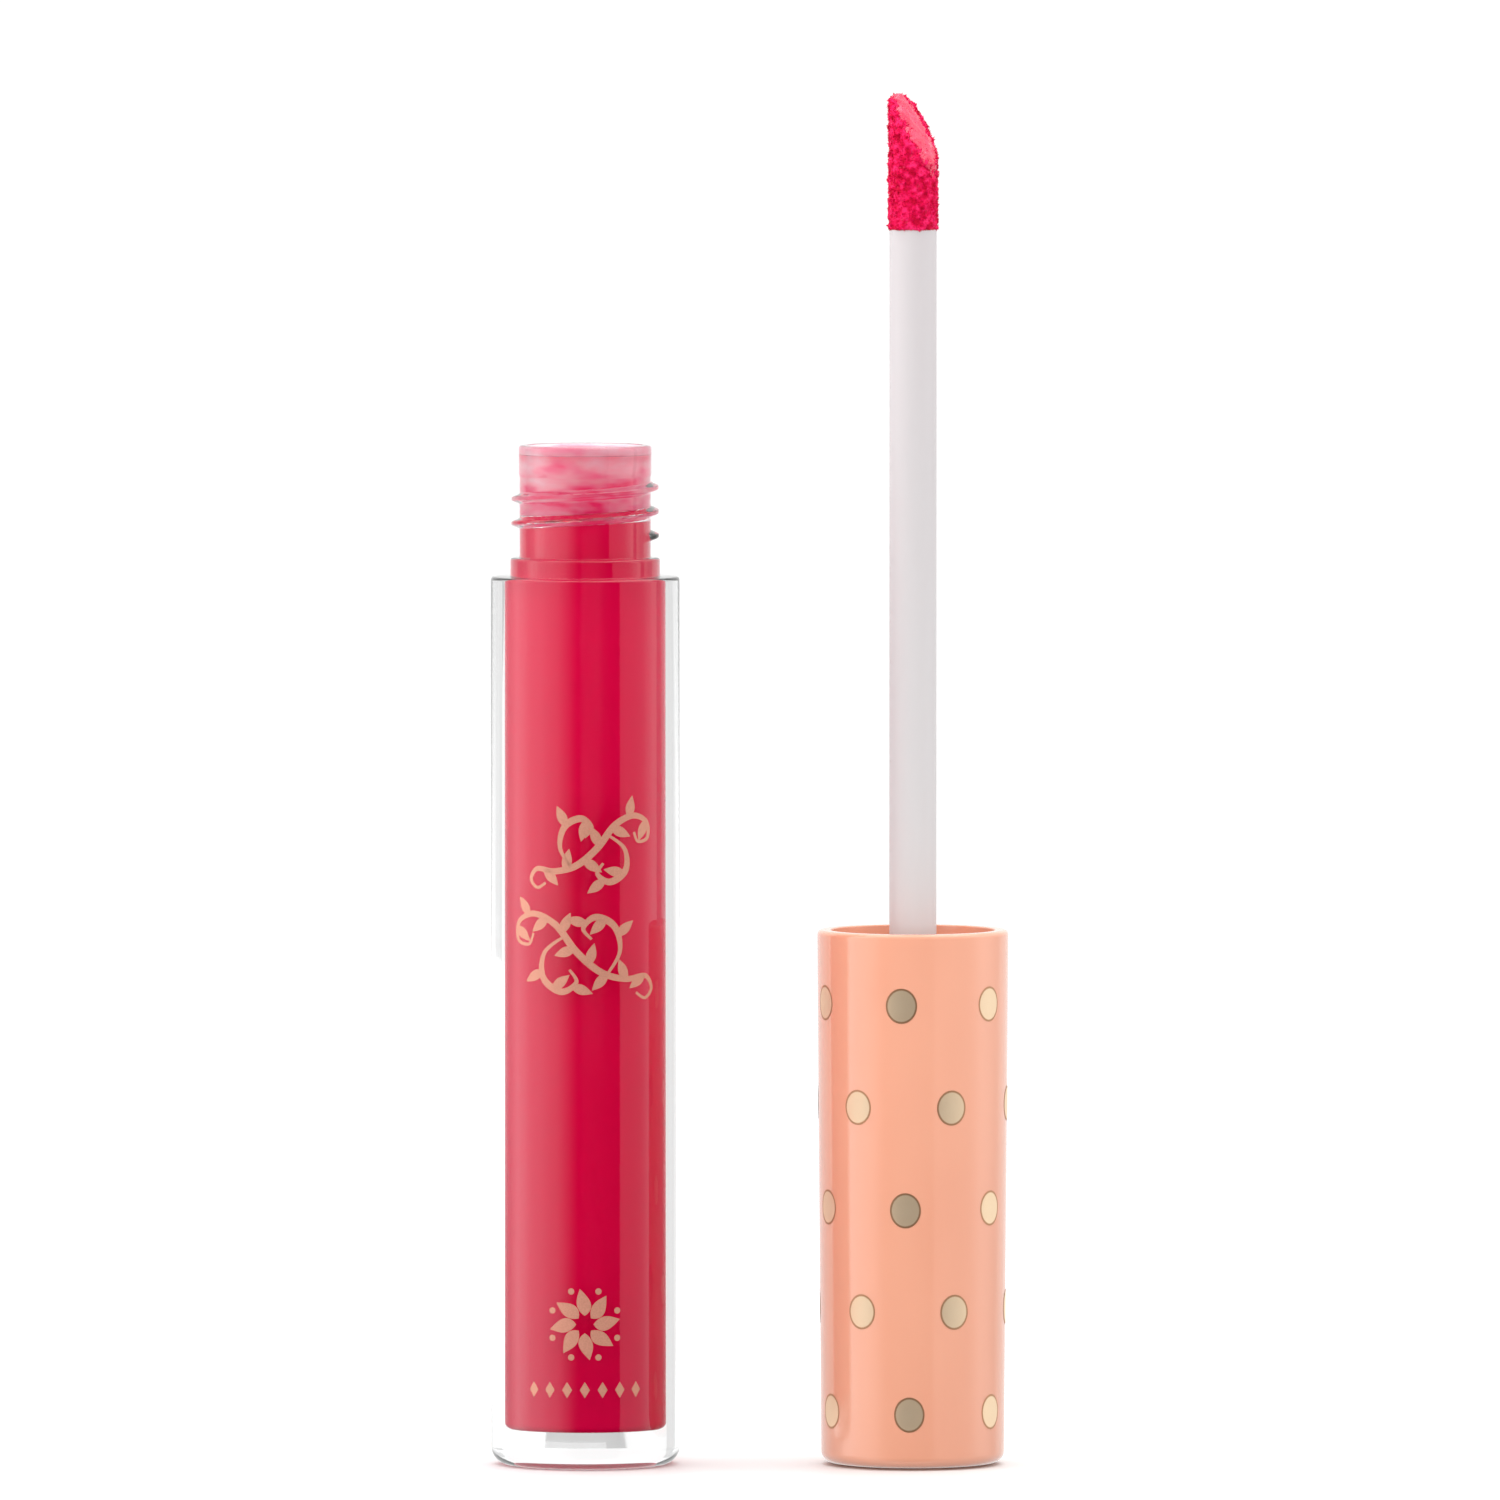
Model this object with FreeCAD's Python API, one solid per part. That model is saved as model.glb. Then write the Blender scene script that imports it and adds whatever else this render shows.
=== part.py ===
import FreeCAD, Part
import math
import os

# Lip gloss tube, unscrewed: the bottle stands at the origin and the cap stands beside it
# on its closed end, with the wand pointing up. Millimetres, +Z up, origin at the centre
# of the bottle's flat base. The cap's pieces are drawn screwed home on the bottle, where
# their fits are plain to see, and are then lifted off, turned over and stood beside it.

# ---- bottle: one thick-walled clear moulding with a straight bore ----
BODY_DIAMETER = 16.4
BODY_HEIGHT = 77.2
BASE_THICKNESS = 3.2
BASE_EDGE_RADIUS = 1.05
SHOULDER_EDGE_RADIUS = 0.3
BORE_DIAMETER = 8.9
BORE_FLOOR_RADIUS = 0.6
COLLAR_DIAMETER = 13.0
COLLAR_HEIGHT = 1.65
NECK_DIAMETER = 11.4
NECK_HEIGHT = 11.4
LAND_STEP = 0.07
LAND_HEIGHT = 2.7
RIM_EDGE_RADIUS = 0.3

# ---- single-start right-hand screw thread on the neck ----
THREAD_PITCH = 2.12
THREAD_DEPTH = 0.71
THREAD_CREST_WIDTH = 0.35
THREAD_ROOT_WIDTH = 1.05
THREAD_TURNS = 2.15
THREAD_RISE = 3.36
THREAD_START_DEG = -30.0
THREAD_FADE_DEG = 30.0
THREAD_SECTION_DEG = 15.0
THREAD_BURY = 0.25

# ---- wiper: soft plug in the neck that strips the wand ----
WIPER_FLANGE_LEDGE = 0.55
WIPER_FLANGE_THICKNESS = 0.8
WIPER_LENGTH = 6.4
WIPER_WALL = 0.7
WIPER_CUP_DEPTH = 3.2
WIPER_LIP_LENGTH = 0.6
WIPER_LIP_THICKNESS = 0.55
WIPER_SKIRT_LENGTH = 2.2
WIPER_CLEARANCE = 0.05

# ---- cap: outer shell, threaded inner cap, gasket ----
CAP_LENGTH = 46.5
CAP_WALL = 1.18
CAP_TAPER = 0.35
CAP_END_THICKNESS = 1.8
CAP_END_FLAT_DIAMETER = 9.0
CAP_END_CROWN = 0.22
CAP_END_EDGE_RADIUS = 1.0
CAP_MOUTH_EDGE_RADIUS = 0.25
CAP_SEAT_STEP = 0.4
SHOULDER_GAP = 0.3
INNER_CAP_WALL = 0.6
INNER_CAP_COLLAR_GAP = 0.25
INNER_CAP_END_WALL = 2.0
INNER_CAP_THREAD_TURNS = 1.5
INNER_CAP_THREAD_DELAY_DEG = 20.0
THREAD_RADIAL_CLEARANCE = 0.12
THREAD_FLANK_CLEARANCE = 0.22
GASKET_THICKNESS = 0.8
GASKET_SEAT_GAP = 0.05
GASKET_BORE_CLEARANCE = 0.3
GASKET_STEM_CLEARANCE = 0.1

# ---- wand: stem, moulded applicator core and its flock ----
STEM_DIAMETER = 4.1
STEM_FLANGE_DIAMETER = 7.4
STEM_FLANGE_THICKNESS = 0.9
STEM_TAIL_DIAMETER = 5.8
STEM_TAIL_LENGTH = 9.0
SOCKET_WALL = 1.3
SOCKET_SPARE_LENGTH = 1.1
RIB_COUNT = 4
RIB_THICKNESS = 0.8
RIB_LENGTH = 7.0
RIB_CLEARANCE = 0.1
APPLICATOR_DIAMETER = 4.6
APPLICATOR_LENGTH = 12.0
APPLICATOR_FLOOR_GAP = 1.5
APPLICATOR_SLANT_DEG = 31.2
APPLICATOR_SLANT_START = 5.75
APPLICATOR_TIP_RADIUS = 0.9
APPLICATOR_EDGE_RADIUS = 0.45
APPLICATOR_FACE_AZIMUTH_DEG = -35.0
FLOCK_THICKNESS = 0.3
CORE_TAIL_DIAMETER = 2.0
CORE_TAIL_LENGTH = 5.0

# ---- gloss ----
FILL_HEADSPACE = 0.15
FILM_THICKNESS = 0.12
FILM_START = 0.8
FILM_LENGTH = 4.4
BEAD_THICKNESS = 0.3
BEAD_DIAMETER = 2.8

# ---- how the two halves stand, and how the cap comes back ----
STANDING_GAP = 11.93
SWING_CLEARANCE = 8.0
UNSCREW_TURNS = 2.0

# ---- worked out from the values above ----
BODY_RADIUS = BODY_DIAMETER / 2
BORE_RADIUS = BORE_DIAMETER / 2
NECK_RADIUS = NECK_DIAMETER / 2
LAND_RADIUS = NECK_RADIUS + LAND_STEP
FLANGE_RADIUS = BORE_RADIUS + WIPER_FLANGE_LEDGE
RIM_Z = BODY_HEIGHT + NECK_HEIGHT
COLLAR_TOP_Z = BODY_HEIGHT + COLLAR_HEIGHT
THREAD_FOOT_Z = BODY_HEIGHT + THREAD_RISE
WIPER_BOTTOM_Z = RIM_Z - WIPER_LENGTH
CAP_MOUTH_Z = BODY_HEIGHT + SHOULDER_GAP
CLOSED_HEIGHT = CAP_MOUTH_Z + CAP_LENGTH
GASKET_BOTTOM_Z = RIM_Z + GASKET_SEAT_GAP
CEILING_Z = GASKET_BOTTOM_Z + GASKET_THICKNESS
SEAT_Z = CEILING_Z + INNER_CAP_END_WALL
THREAD_BORE_RADIUS = NECK_RADIUS + THREAD_DEPTH + THREAD_RADIAL_CLEARANCE
SHELL_BORE_RADIUS = THREAD_BORE_RADIUS + INNER_CAP_WALL
UPPER_BORE_RADIUS = SHELL_BORE_RADIUS - CAP_SEAT_STEP
CAP_MOUTH_RADIUS = SHELL_BORE_RADIUS + CAP_WALL
CAP_END_RADIUS = CAP_MOUTH_RADIUS - CAP_TAPER
AXIS_SPACING = BODY_RADIUS + STANDING_GAP + CAP_MOUTH_RADIUS
TIP_Z = BASE_THICKNESS + APPLICATOR_FLOOR_GAP
JUNCTION_Z = TIP_Z + APPLICATOR_LENGTH
TIP_STANDING_Z = CLOSED_HEIGHT - TIP_Z
PIVOT_Z = (RIM_Z + TIP_STANDING_Z + SWING_CLEARANCE) / 2
LIFT = 2 * PIVOT_Z - CLOSED_HEIGHT
ORIFICE_RADIUS = max(APPLICATOR_DIAMETER, STEM_DIAMETER) / 2 + WIPER_CLEARANCE

AXIS_DIRECTION = FreeCAD.Vector(0, 0, 1)
ORIGIN = FreeCAD.Vector(0, 0, 0)
FULL_TURN = 360.0


def turned(points):
    """A solid of revolution about Z, from (radius, height) corners."""
    corners = [FreeCAD.Vector(radius, 0, height) for radius, height in points]
    outline = Part.makePolygon(corners + corners[:1])
    return Part.Face(outline).revolve(ORIGIN, AXIS_DIRECTION, FULL_TURN)


def rounded(solid, fillet_radius, edge_radius, height):
    """Round the circular edge about Z that has this radius and height."""
    rims = []
    for edge in solid.Edges:
        curve = edge.Curve
        if not isinstance(curve, Part.Circle):
            continue
        if abs(curve.Radius - edge_radius) < 1e-4 and abs(curve.Center.z - height) < 1e-4:
            rims.append(edge)
    return solid.makeFillet(fillet_radius, rims)


def thread_section(angle_deg, height, inner_side, outer_side):
    """One trapezium across the thread; a side is its (radius, width)."""
    (inner_radius, inner_width), (outer_radius, outer_width) = inner_side, outer_side
    flat = [
        (inner_radius, height - inner_width / 2),
        (outer_radius, height - outer_width / 2),
        (outer_radius, height + outer_width / 2),
        (inner_radius, height + inner_width / 2),
    ]
    angle = math.radians(angle_deg)
    corners = [
        FreeCAD.Vector(radius * math.cos(angle), radius * math.sin(angle), z)
        for radius, z in flat
    ]
    return Part.makePolygon(corners + corners[:1])


def helical_ridge(root_radius, crest_radius, root_width, crest_width, start_deg, end_deg, z_at_zero):
    """A right-hand ridge whose two ends sink back into the wall that carries it."""
    outward = 1 if crest_radius > root_radius else -1
    depth = abs(crest_radius - root_radius)
    spread = (root_width - crest_width) / depth
    count = round((end_deg - start_deg) / THREAD_SECTION_DEG)
    sections = []
    for step in range(count + 1):
        angle = start_deg + (end_deg - start_deg) * step / count
        height = z_at_zero + THREAD_PITCH * angle / FULL_TURN
        to_end = min(angle - start_deg, end_deg - angle)
        stand = min(1.0, to_end / THREAD_FADE_DEG)
        top = stand * depth - (1 - stand) * THREAD_BURY / 2
        buried = (root_radius - outward * THREAD_BURY, root_width + spread * THREAD_BURY)
        crest = (root_radius + outward * top, root_width - spread * top)
        sides = (buried, crest) if outward > 0 else (crest, buried)
        sections.append(thread_section(angle, height, *sides))
    return Part.makeLoft(sections, True, False)


def neck_thread_z_at_zero():
    """Height of the neck thread's middle at azimuth 0."""
    return THREAD_FOOT_Z - THREAD_PITCH * THREAD_START_DEG / FULL_TURN


def bottle():
    collar_radius = COLLAR_DIAMETER / 2
    land_z = RIM_Z - LAND_HEIGHT
    flange_seat_z = RIM_Z - WIPER_FLANGE_THICKNESS
    body = turned([
        (0, 0),
        (BODY_RADIUS, 0),
        (BODY_RADIUS, BODY_HEIGHT),
        (collar_radius, BODY_HEIGHT),
        (collar_radius, COLLAR_TOP_Z),
        (NECK_RADIUS, COLLAR_TOP_Z),
        (NECK_RADIUS, land_z),
        (LAND_RADIUS, land_z),
        (LAND_RADIUS, RIM_Z),
        (FLANGE_RADIUS, RIM_Z),
        (FLANGE_RADIUS, flange_seat_z),
        (BORE_RADIUS, flange_seat_z),
        (BORE_RADIUS, BASE_THICKNESS),
        (0, BASE_THICKNESS),
    ])
    body = rounded(body, BASE_EDGE_RADIUS, BODY_RADIUS, 0)
    body = rounded(body, SHOULDER_EDGE_RADIUS, BODY_RADIUS, BODY_HEIGHT)
    body = rounded(body, SHOULDER_EDGE_RADIUS, collar_radius, COLLAR_TOP_Z)
    body = rounded(body, RIM_EDGE_RADIUS, LAND_RADIUS, RIM_Z)
    body = rounded(body, BORE_FLOOR_RADIUS, BORE_RADIUS, BASE_THICKNESS)
    thread = helical_ridge(
        NECK_RADIUS,
        NECK_RADIUS + THREAD_DEPTH,
        THREAD_ROOT_WIDTH,
        THREAD_CREST_WIDTH,
        THREAD_START_DEG,
        THREAD_START_DEG + THREAD_TURNS * FULL_TURN,
        neck_thread_z_at_zero(),
    )
    return body.fuse(thread).removeSplitter()


def wiper():
    flange_bottom_z = RIM_Z - WIPER_FLANGE_THICKNESS
    cup_radius = BORE_RADIUS - WIPER_WALL
    lip_top_z = WIPER_BOTTOM_Z + WIPER_LIP_LENGTH
    return turned([
        (FLANGE_RADIUS, RIM_Z),
        (FLANGE_RADIUS, flange_bottom_z),
        (BORE_RADIUS, flange_bottom_z),
        (BORE_RADIUS, WIPER_BOTTOM_Z + WIPER_SKIRT_LENGTH),
        (ORIFICE_RADIUS + WIPER_LIP_THICKNESS, WIPER_BOTTOM_Z),
        (ORIFICE_RADIUS, WIPER_BOTTOM_Z),
        (ORIFICE_RADIUS, lip_top_z),
        (cup_radius, RIM_Z - WIPER_CUP_DEPTH),
        (cup_radius, RIM_Z),
    ])


def gloss_fill():
    fill = Part.makeCylinder(
        BORE_RADIUS,
        WIPER_BOTTOM_Z - FILL_HEADSPACE - BASE_THICKNESS,
        FreeCAD.Vector(0, 0, BASE_THICKNESS),
    )
    return rounded(fill, BORE_FLOOR_RADIUS, BORE_RADIUS, BASE_THICKNESS)


def cap_shell():
    cavity_end_z = CLOSED_HEIGHT - CAP_END_THICKNESS
    crown_z = CLOSED_HEIGHT - CAP_END_CROWN
    shell = turned([
        (SHELL_BORE_RADIUS, CAP_MOUTH_Z),
        (CAP_MOUTH_RADIUS, CAP_MOUTH_Z),
        (CAP_END_RADIUS, crown_z),
        (CAP_END_FLAT_DIAMETER / 2, CLOSED_HEIGHT),
        (0, CLOSED_HEIGHT),
        (0, cavity_end_z),
        (UPPER_BORE_RADIUS, cavity_end_z),
        (UPPER_BORE_RADIUS, SEAT_Z),
        (SHELL_BORE_RADIUS, SEAT_Z),
    ])
    shell = rounded(shell, CAP_END_EDGE_RADIUS, CAP_END_RADIUS, crown_z)
    return rounded(shell, CAP_MOUTH_EDGE_RADIUS, CAP_MOUTH_RADIUS, CAP_MOUTH_Z)


def inner_cap():
    mouth_z = COLLAR_TOP_Z + INNER_CAP_COLLAR_GAP
    flange_radius = STEM_FLANGE_DIAMETER / 2
    flange_top_z = CEILING_Z + STEM_FLANGE_THICKNESS
    tail_radius = STEM_TAIL_DIAMETER / 2
    socket_radius = tail_radius + SOCKET_WALL
    socket_top_z = flange_top_z + STEM_TAIL_LENGTH + SOCKET_SPARE_LENGTH
    body = turned([
        (THREAD_BORE_RADIUS, mouth_z),
        (SHELL_BORE_RADIUS, mouth_z),
        (SHELL_BORE_RADIUS, SEAT_Z),
        (socket_radius, SEAT_Z),
        (socket_radius, socket_top_z),
        (tail_radius, socket_top_z),
        (tail_radius, flange_top_z),
        (flange_radius, flange_top_z),
        (flange_radius, CEILING_Z),
        (THREAD_BORE_RADIUS, CEILING_Z),
    ])
    crest_radius = LAND_RADIUS + THREAD_RADIAL_CLEARANCE
    gap_width = THREAD_PITCH - 2 * THREAD_FLANK_CLEARANCE
    thread = helical_ridge(
        THREAD_BORE_RADIUS,
        crest_radius,
        gap_width - THREAD_CREST_WIDTH,
        gap_width - THREAD_ROOT_WIDTH,
        INNER_CAP_THREAD_DELAY_DEG,
        INNER_CAP_THREAD_DELAY_DEG + INNER_CAP_THREAD_TURNS * FULL_TURN,
        neck_thread_z_at_zero() + THREAD_PITCH / 2,
    )
    ribs = []
    for index in range(RIB_COUNT):
        rib = Part.makeBox(
            UPPER_BORE_RADIUS - RIB_CLEARANCE - (socket_radius - SOCKET_WALL / 2),
            RIB_THICKNESS,
            RIB_LENGTH,
            FreeCAD.Vector(socket_radius - SOCKET_WALL / 2, -RIB_THICKNESS / 2, SEAT_Z),
        )
        rib.rotate(ORIGIN, AXIS_DIRECTION, FULL_TURN * index / RIB_COUNT)
        ribs.append(rib)
    return body.fuse([thread] + ribs).removeSplitter()


def cap_gasket():
    inner_radius = STEM_DIAMETER / 2 + GASKET_STEM_CLEARANCE
    outer_radius = THREAD_BORE_RADIUS - GASKET_BORE_CLEARANCE
    return turned([
        (inner_radius, GASKET_BOTTOM_Z),
        (outer_radius, GASKET_BOTTOM_Z),
        (outer_radius, CEILING_Z),
        (inner_radius, CEILING_Z),
    ])


def wand_stem():
    shaft_radius = STEM_DIAMETER / 2
    tail_radius = STEM_TAIL_DIAMETER / 2
    flange_radius = STEM_FLANGE_DIAMETER / 2
    flange_top_z = CEILING_Z + STEM_FLANGE_THICKNESS
    core_radius = CORE_TAIL_DIAMETER / 2
    return turned([
        (shaft_radius, JUNCTION_Z),
        (shaft_radius, CEILING_Z),
        (flange_radius, CEILING_Z),
        (flange_radius, flange_top_z),
        (tail_radius, flange_top_z),
        (tail_radius, flange_top_z + STEM_TAIL_LENGTH),
        (0, flange_top_z + STEM_TAIL_LENGTH),
        (0, JUNCTION_Z + CORE_TAIL_LENGTH),
        (core_radius, JUNCTION_Z + CORE_TAIL_LENGTH),
        (core_radius, JUNCTION_Z),
    ])


def slant_normal():
    slant = math.radians(APPLICATOR_SLANT_DEG)
    return FreeCAD.Vector(math.cos(slant), 0, math.sin(slant))


def slant_point(inset):
    """A point of the slanted face, moved into the applicator by inset."""
    start = FreeCAD.Vector(APPLICATOR_DIAMETER / 2, 0, APPLICATOR_SLANT_START)
    return start - slant_normal() * inset


def doe_foot(inset):
    """The applicator's outline with its base at z = 0, its tip up and its face towards +X."""
    foot_radius = APPLICATOR_DIAMETER / 2 - inset
    foot_length = APPLICATOR_LENGTH - inset
    foot = Part.makeCylinder(foot_radius, foot_length)
    foot = rounded(foot, APPLICATOR_TIP_RADIUS, foot_radius, foot_length)
    reach = 4 * APPLICATOR_LENGTH
    waste = Part.makeBox(reach, reach, reach, FreeCAD.Vector(-reach / 2, -reach / 2, 0))
    waste.Placement = FreeCAD.Placement(
        slant_point(inset),
        FreeCAD.Rotation(AXIS_DIRECTION, slant_normal()),
    ) * waste.Placement
    foot = foot.cut(waste)
    face_edges = []
    for edge in foot.Edges:
        middle = edge.valueAt((edge.FirstParameter + edge.LastParameter) / 2)
        if abs((middle - slant_point(inset)).dot(slant_normal())) < 1e-6:
            face_edges.append(edge)
    return foot.makeFillet(APPLICATOR_EDGE_RADIUS, face_edges)


def hang_on_stem(foot):
    """Turn a tip-up applicator piece over onto the end of the closed wand."""
    foot.rotate(ORIGIN, FreeCAD.Vector(0, 1, 0), 180)
    foot.rotate(ORIGIN, AXIS_DIRECTION, -APPLICATOR_FACE_AZIMUTH_DEG)
    foot.translate(FreeCAD.Vector(0, 0, JUNCTION_Z))
    return foot


def applicator_core():
    tail = Part.makeCylinder(
        CORE_TAIL_DIAMETER / 2,
        CORE_TAIL_LENGTH + FLOCK_THICKNESS,
        FreeCAD.Vector(0, 0, -CORE_TAIL_LENGTH),
    )
    return hang_on_stem(doe_foot(FLOCK_THICKNESS).fuse(tail).removeSplitter())


def applicator_flock():
    return hang_on_stem(doe_foot(0).cut(doe_foot(FLOCK_THICKNESS)))


def gloss_film():
    outer = Part.makeCylinder(
        APPLICATOR_DIAMETER / 2 + FILM_THICKNESS,
        FILM_LENGTH,
        FreeCAD.Vector(0, 0, FILM_START),
    )
    hole = Part.makeCylinder(APPLICATOR_DIAMETER / 2, APPLICATOR_LENGTH)
    return hang_on_stem(outer.cut(hole))


def gloss_bead():
    tip = FreeCAD.Vector(0, 0, APPLICATOR_LENGTH)
    slope = FreeCAD.Vector(-slant_normal().z, 0, slant_normal().x)
    face_length = (tip - slant_point(0)).dot(slope)
    centre = slant_point(0) + slope * (face_length / 2)
    bead = Part.makeCylinder(BEAD_DIAMETER / 2, BEAD_THICKNESS, centre, slant_normal())
    return hang_on_stem(bead)


def stand_beside(shape):
    """Lift a closed-cap piece off the bottle, turn it over and stand it on its closed end."""
    shape.translate(FreeCAD.Vector(0, 0, LIFT))
    pivot = FreeCAD.Vector(AXIS_SPACING / 2, 0, PIVOT_Z)
    shape.rotate(pivot, FreeCAD.Vector(0, 1, 0), 180)
    return shape


BOTTLE_PIECES = {
    "bottle": bottle,
    "wiper": wiper,
    "gloss_fill": gloss_fill,
}
CAP_PIECES = {
    "cap_shell": cap_shell,
    "inner_cap": inner_cap,
    "cap_gasket": cap_gasket,
    "wand_stem": wand_stem,
    "applicator_core": applicator_core,
    "applicator_flock": applicator_flock,
    "gloss_film": gloss_film,
    "gloss_bead": gloss_bead,
}

os.makedirs("parts", exist_ok=True)
for name, make in BOTTLE_PIECES.items():
    make().exportStep("parts/" + name + ".step")
for name, make in CAP_PIECES.items():
    stand_beside(make()).exportStep("parts/" + name + ".step")

insert_travel = LIFT - UNSCREW_TURNS * THREAD_PITCH
print("closed height", round(CLOSED_HEIGHT, 3))
print("tip height, standing", round(TIP_STANDING_Z, 3))
print("flip pivot x, z", round(AXIS_SPACING / 2, 3), round(PIVOT_Z, 3))
print("insert travel", round(insert_travel, 3))
print("screw travel", round(UNSCREW_TURNS * THREAD_PITCH, 3))
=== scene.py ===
# %% [markdown]
# # A lip gloss tube, opened
#
# The object has two halves. The bottle is one thick-walled clear moulding with a narrow
# straight bore, so its wall works as a lens and the gloss seems to fill it almost from
# side to side. The cap stands beside it on its closed end and holds the wand: a pale
# stem and a slanted, flocked applicator that is wet with gloss.
#
# The engineering model is loaded first. Every size below is read from it, or is a
# named value in metres, and each piece made here rides on one of its bodies.

import math

import bmesh
import bpy
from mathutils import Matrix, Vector, noise


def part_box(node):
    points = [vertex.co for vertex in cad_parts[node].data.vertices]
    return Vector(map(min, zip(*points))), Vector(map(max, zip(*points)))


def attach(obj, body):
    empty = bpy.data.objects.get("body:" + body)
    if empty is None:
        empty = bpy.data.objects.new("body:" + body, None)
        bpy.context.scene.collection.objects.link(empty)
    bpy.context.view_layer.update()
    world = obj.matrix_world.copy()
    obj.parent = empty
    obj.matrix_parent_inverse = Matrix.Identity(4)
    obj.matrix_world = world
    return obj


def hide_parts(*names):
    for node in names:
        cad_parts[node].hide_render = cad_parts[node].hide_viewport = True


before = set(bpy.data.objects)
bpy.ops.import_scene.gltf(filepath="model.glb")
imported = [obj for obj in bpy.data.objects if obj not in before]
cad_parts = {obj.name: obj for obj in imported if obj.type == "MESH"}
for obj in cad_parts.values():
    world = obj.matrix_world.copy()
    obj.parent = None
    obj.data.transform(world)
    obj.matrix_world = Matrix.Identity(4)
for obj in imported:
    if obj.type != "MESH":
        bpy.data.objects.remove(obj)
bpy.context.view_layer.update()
MM = 0.001

# %% [markdown]
# ## Sizes read from the frame
#
# A box around a turned part gives its radius, its foot and its top. Reading them from
# the frame keeps the looks and the engineering model in step when a size changes.

# %% Read radii and heights
def turned_size(node):
    """Axis position, largest radius, foot height and top height of a round CAD node."""
    low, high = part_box(node)
    return (low.x + high.x) / 2, (high.x - low.x) / 2, low.z, high.z


_, BODY_R, _, RIM_Z = turned_size("bottle")
_, BORE_R, FLOOR_Z, FILL_Z = turned_size("gloss_fill")
_, FLANGE_R, WIPER_Z, _ = turned_size("wiper")
CAP_X, CAP_R, _, CAP_Z = turned_size("cap_shell")
_, SHELL_BORE_R, _, INNER_MOUTH_Z = turned_size("inner_cap")
_, GASKET_R, GASKET_FOOT_Z, GASKET_TOP_Z = turned_size("cap_gasket")
_, STEM_FLANGE_R, STEM_FOOT_Z, STEM_TOP_Z = turned_size("wand_stem")
_, TIP_R, _, TIP_Z = turned_size("applicator_flock")
print("cap axis at", round(CAP_X / MM, 2), "mm; tip at", round(TIP_Z / MM, 2), "mm")

# %% [markdown]
# ## Turning an outline into a solid
#
# Most of these pieces are round, as they come from round moulds. One outline of corners,
# each with its own fillet, is turned about an upright axis. Fillets are true arcs, and
# every edge has one, because a moulded edge is never perfectly sharp and the small
# rounding is what catches the light.

# %% Outline with filleted corners
# Radii that differ by less than this are the same radius.
SAME_RADIUS = 1e-7


def filleted(corners, steps=6):
    """Points of an outline; a corner is (radius, height, fillet)."""
    points = []
    count = len(corners)
    for index, (radius, height, fillet) in enumerate(corners):
        here = Vector((radius, height))
        if fillet == 0:
            points.append((radius, height))
            continue
        before = (Vector(corners[index - 1][:2]) - here).normalized()
        after = (Vector(corners[(index + 1) % count][:2]) - here).normalized()
        half = before.angle(after) / 2
        reach = fillet / math.tan(half)
        centre = here + (before + after).normalized() * (fillet / math.sin(half))
        start = here + before * reach - centre
        end = here + after * reach - centre
        sweep = start.angle_signed(end)
        for step in range(steps + 1):
            turn = -sweep * step / steps
            x = start.x * math.cos(turn) - start.y * math.sin(turn)
            y = start.x * math.sin(turn) + start.y * math.cos(turn)
            points.append((centre.x + x, centre.y + y))
    return points


# %% Turn the outline about an upright axis
SHARP_ANGLE = math.radians(38)


def mesh_object(name, bm):
    """A smooth-shaded object at the origin, with its place in its mesh."""
    mesh = bpy.data.meshes.new(name)
    bm.to_mesh(mesh)
    bm.free()
    mesh.polygons.foreach_set("use_smooth", [True] * len(mesh.polygons))
    mesh.set_sharp_from_angle(angle=SHARP_ANGLE)
    piece = bpy.data.objects.new(name, mesh)
    bpy.context.scene.collection.objects.link(piece)
    return piece


def lathe(name, outline, axis_x=0.0, around=192, shape=None):
    """Turn (radius, height) points; shape(angle, radius, height) may move a radius."""
    bm = bmesh.new()
    rings = []
    for radius, height in outline:
        if radius < SAME_RADIUS:
            rings.append([bm.verts.new((axis_x, 0, height))])
            continue
        ring = []
        for index in range(around):
            angle = math.tau * index / around
            here = shape(angle, radius, height) if shape else radius
            place = (axis_x + here * math.cos(angle), here * math.sin(angle), height)
            ring.append(bm.verts.new(place))
        rings.append(ring)
    if len(rings[0]) > 1 and len(rings[-1]) > 1:
        rings.append(rings[0])
    for lower, upper in zip(rings, rings[1:]):
        for index in range(around):
            after = (index + 1) % around
            corners = [lower[index % len(lower)], lower[after % len(lower)]]
            corners += [upper[after % len(upper)], upper[index % len(upper)]]
            unique = list(dict.fromkeys(corners))
            if len(unique) > 2:
                bm.faces.new(unique)
    bmesh.ops.recalc_face_normals(bm, faces=bm.faces)
    return mesh_object(name, bm)


# %% [markdown]
# ## Small helpers for materials
#
# Every finish is a node tree on Object coordinates. A value that is the same all over
# sits on the shader's own socket. Anything that varies, such as the slight waviness of
# a moulding or the mottling of wet flock, comes from noise at the size it really has.

# %% Material helpers
def new_material(name, **sockets):
    """A material with one Principled BSDF whose sockets are set by name."""
    material = bpy.data.materials.new(name)
    material.use_nodes = True
    shader = material.node_tree.nodes["Principled BSDF"]
    for socket, value in sockets.items():
        shader.inputs[socket.replace("_", " ")].default_value = value
    return material, material.node_tree, shader


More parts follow.
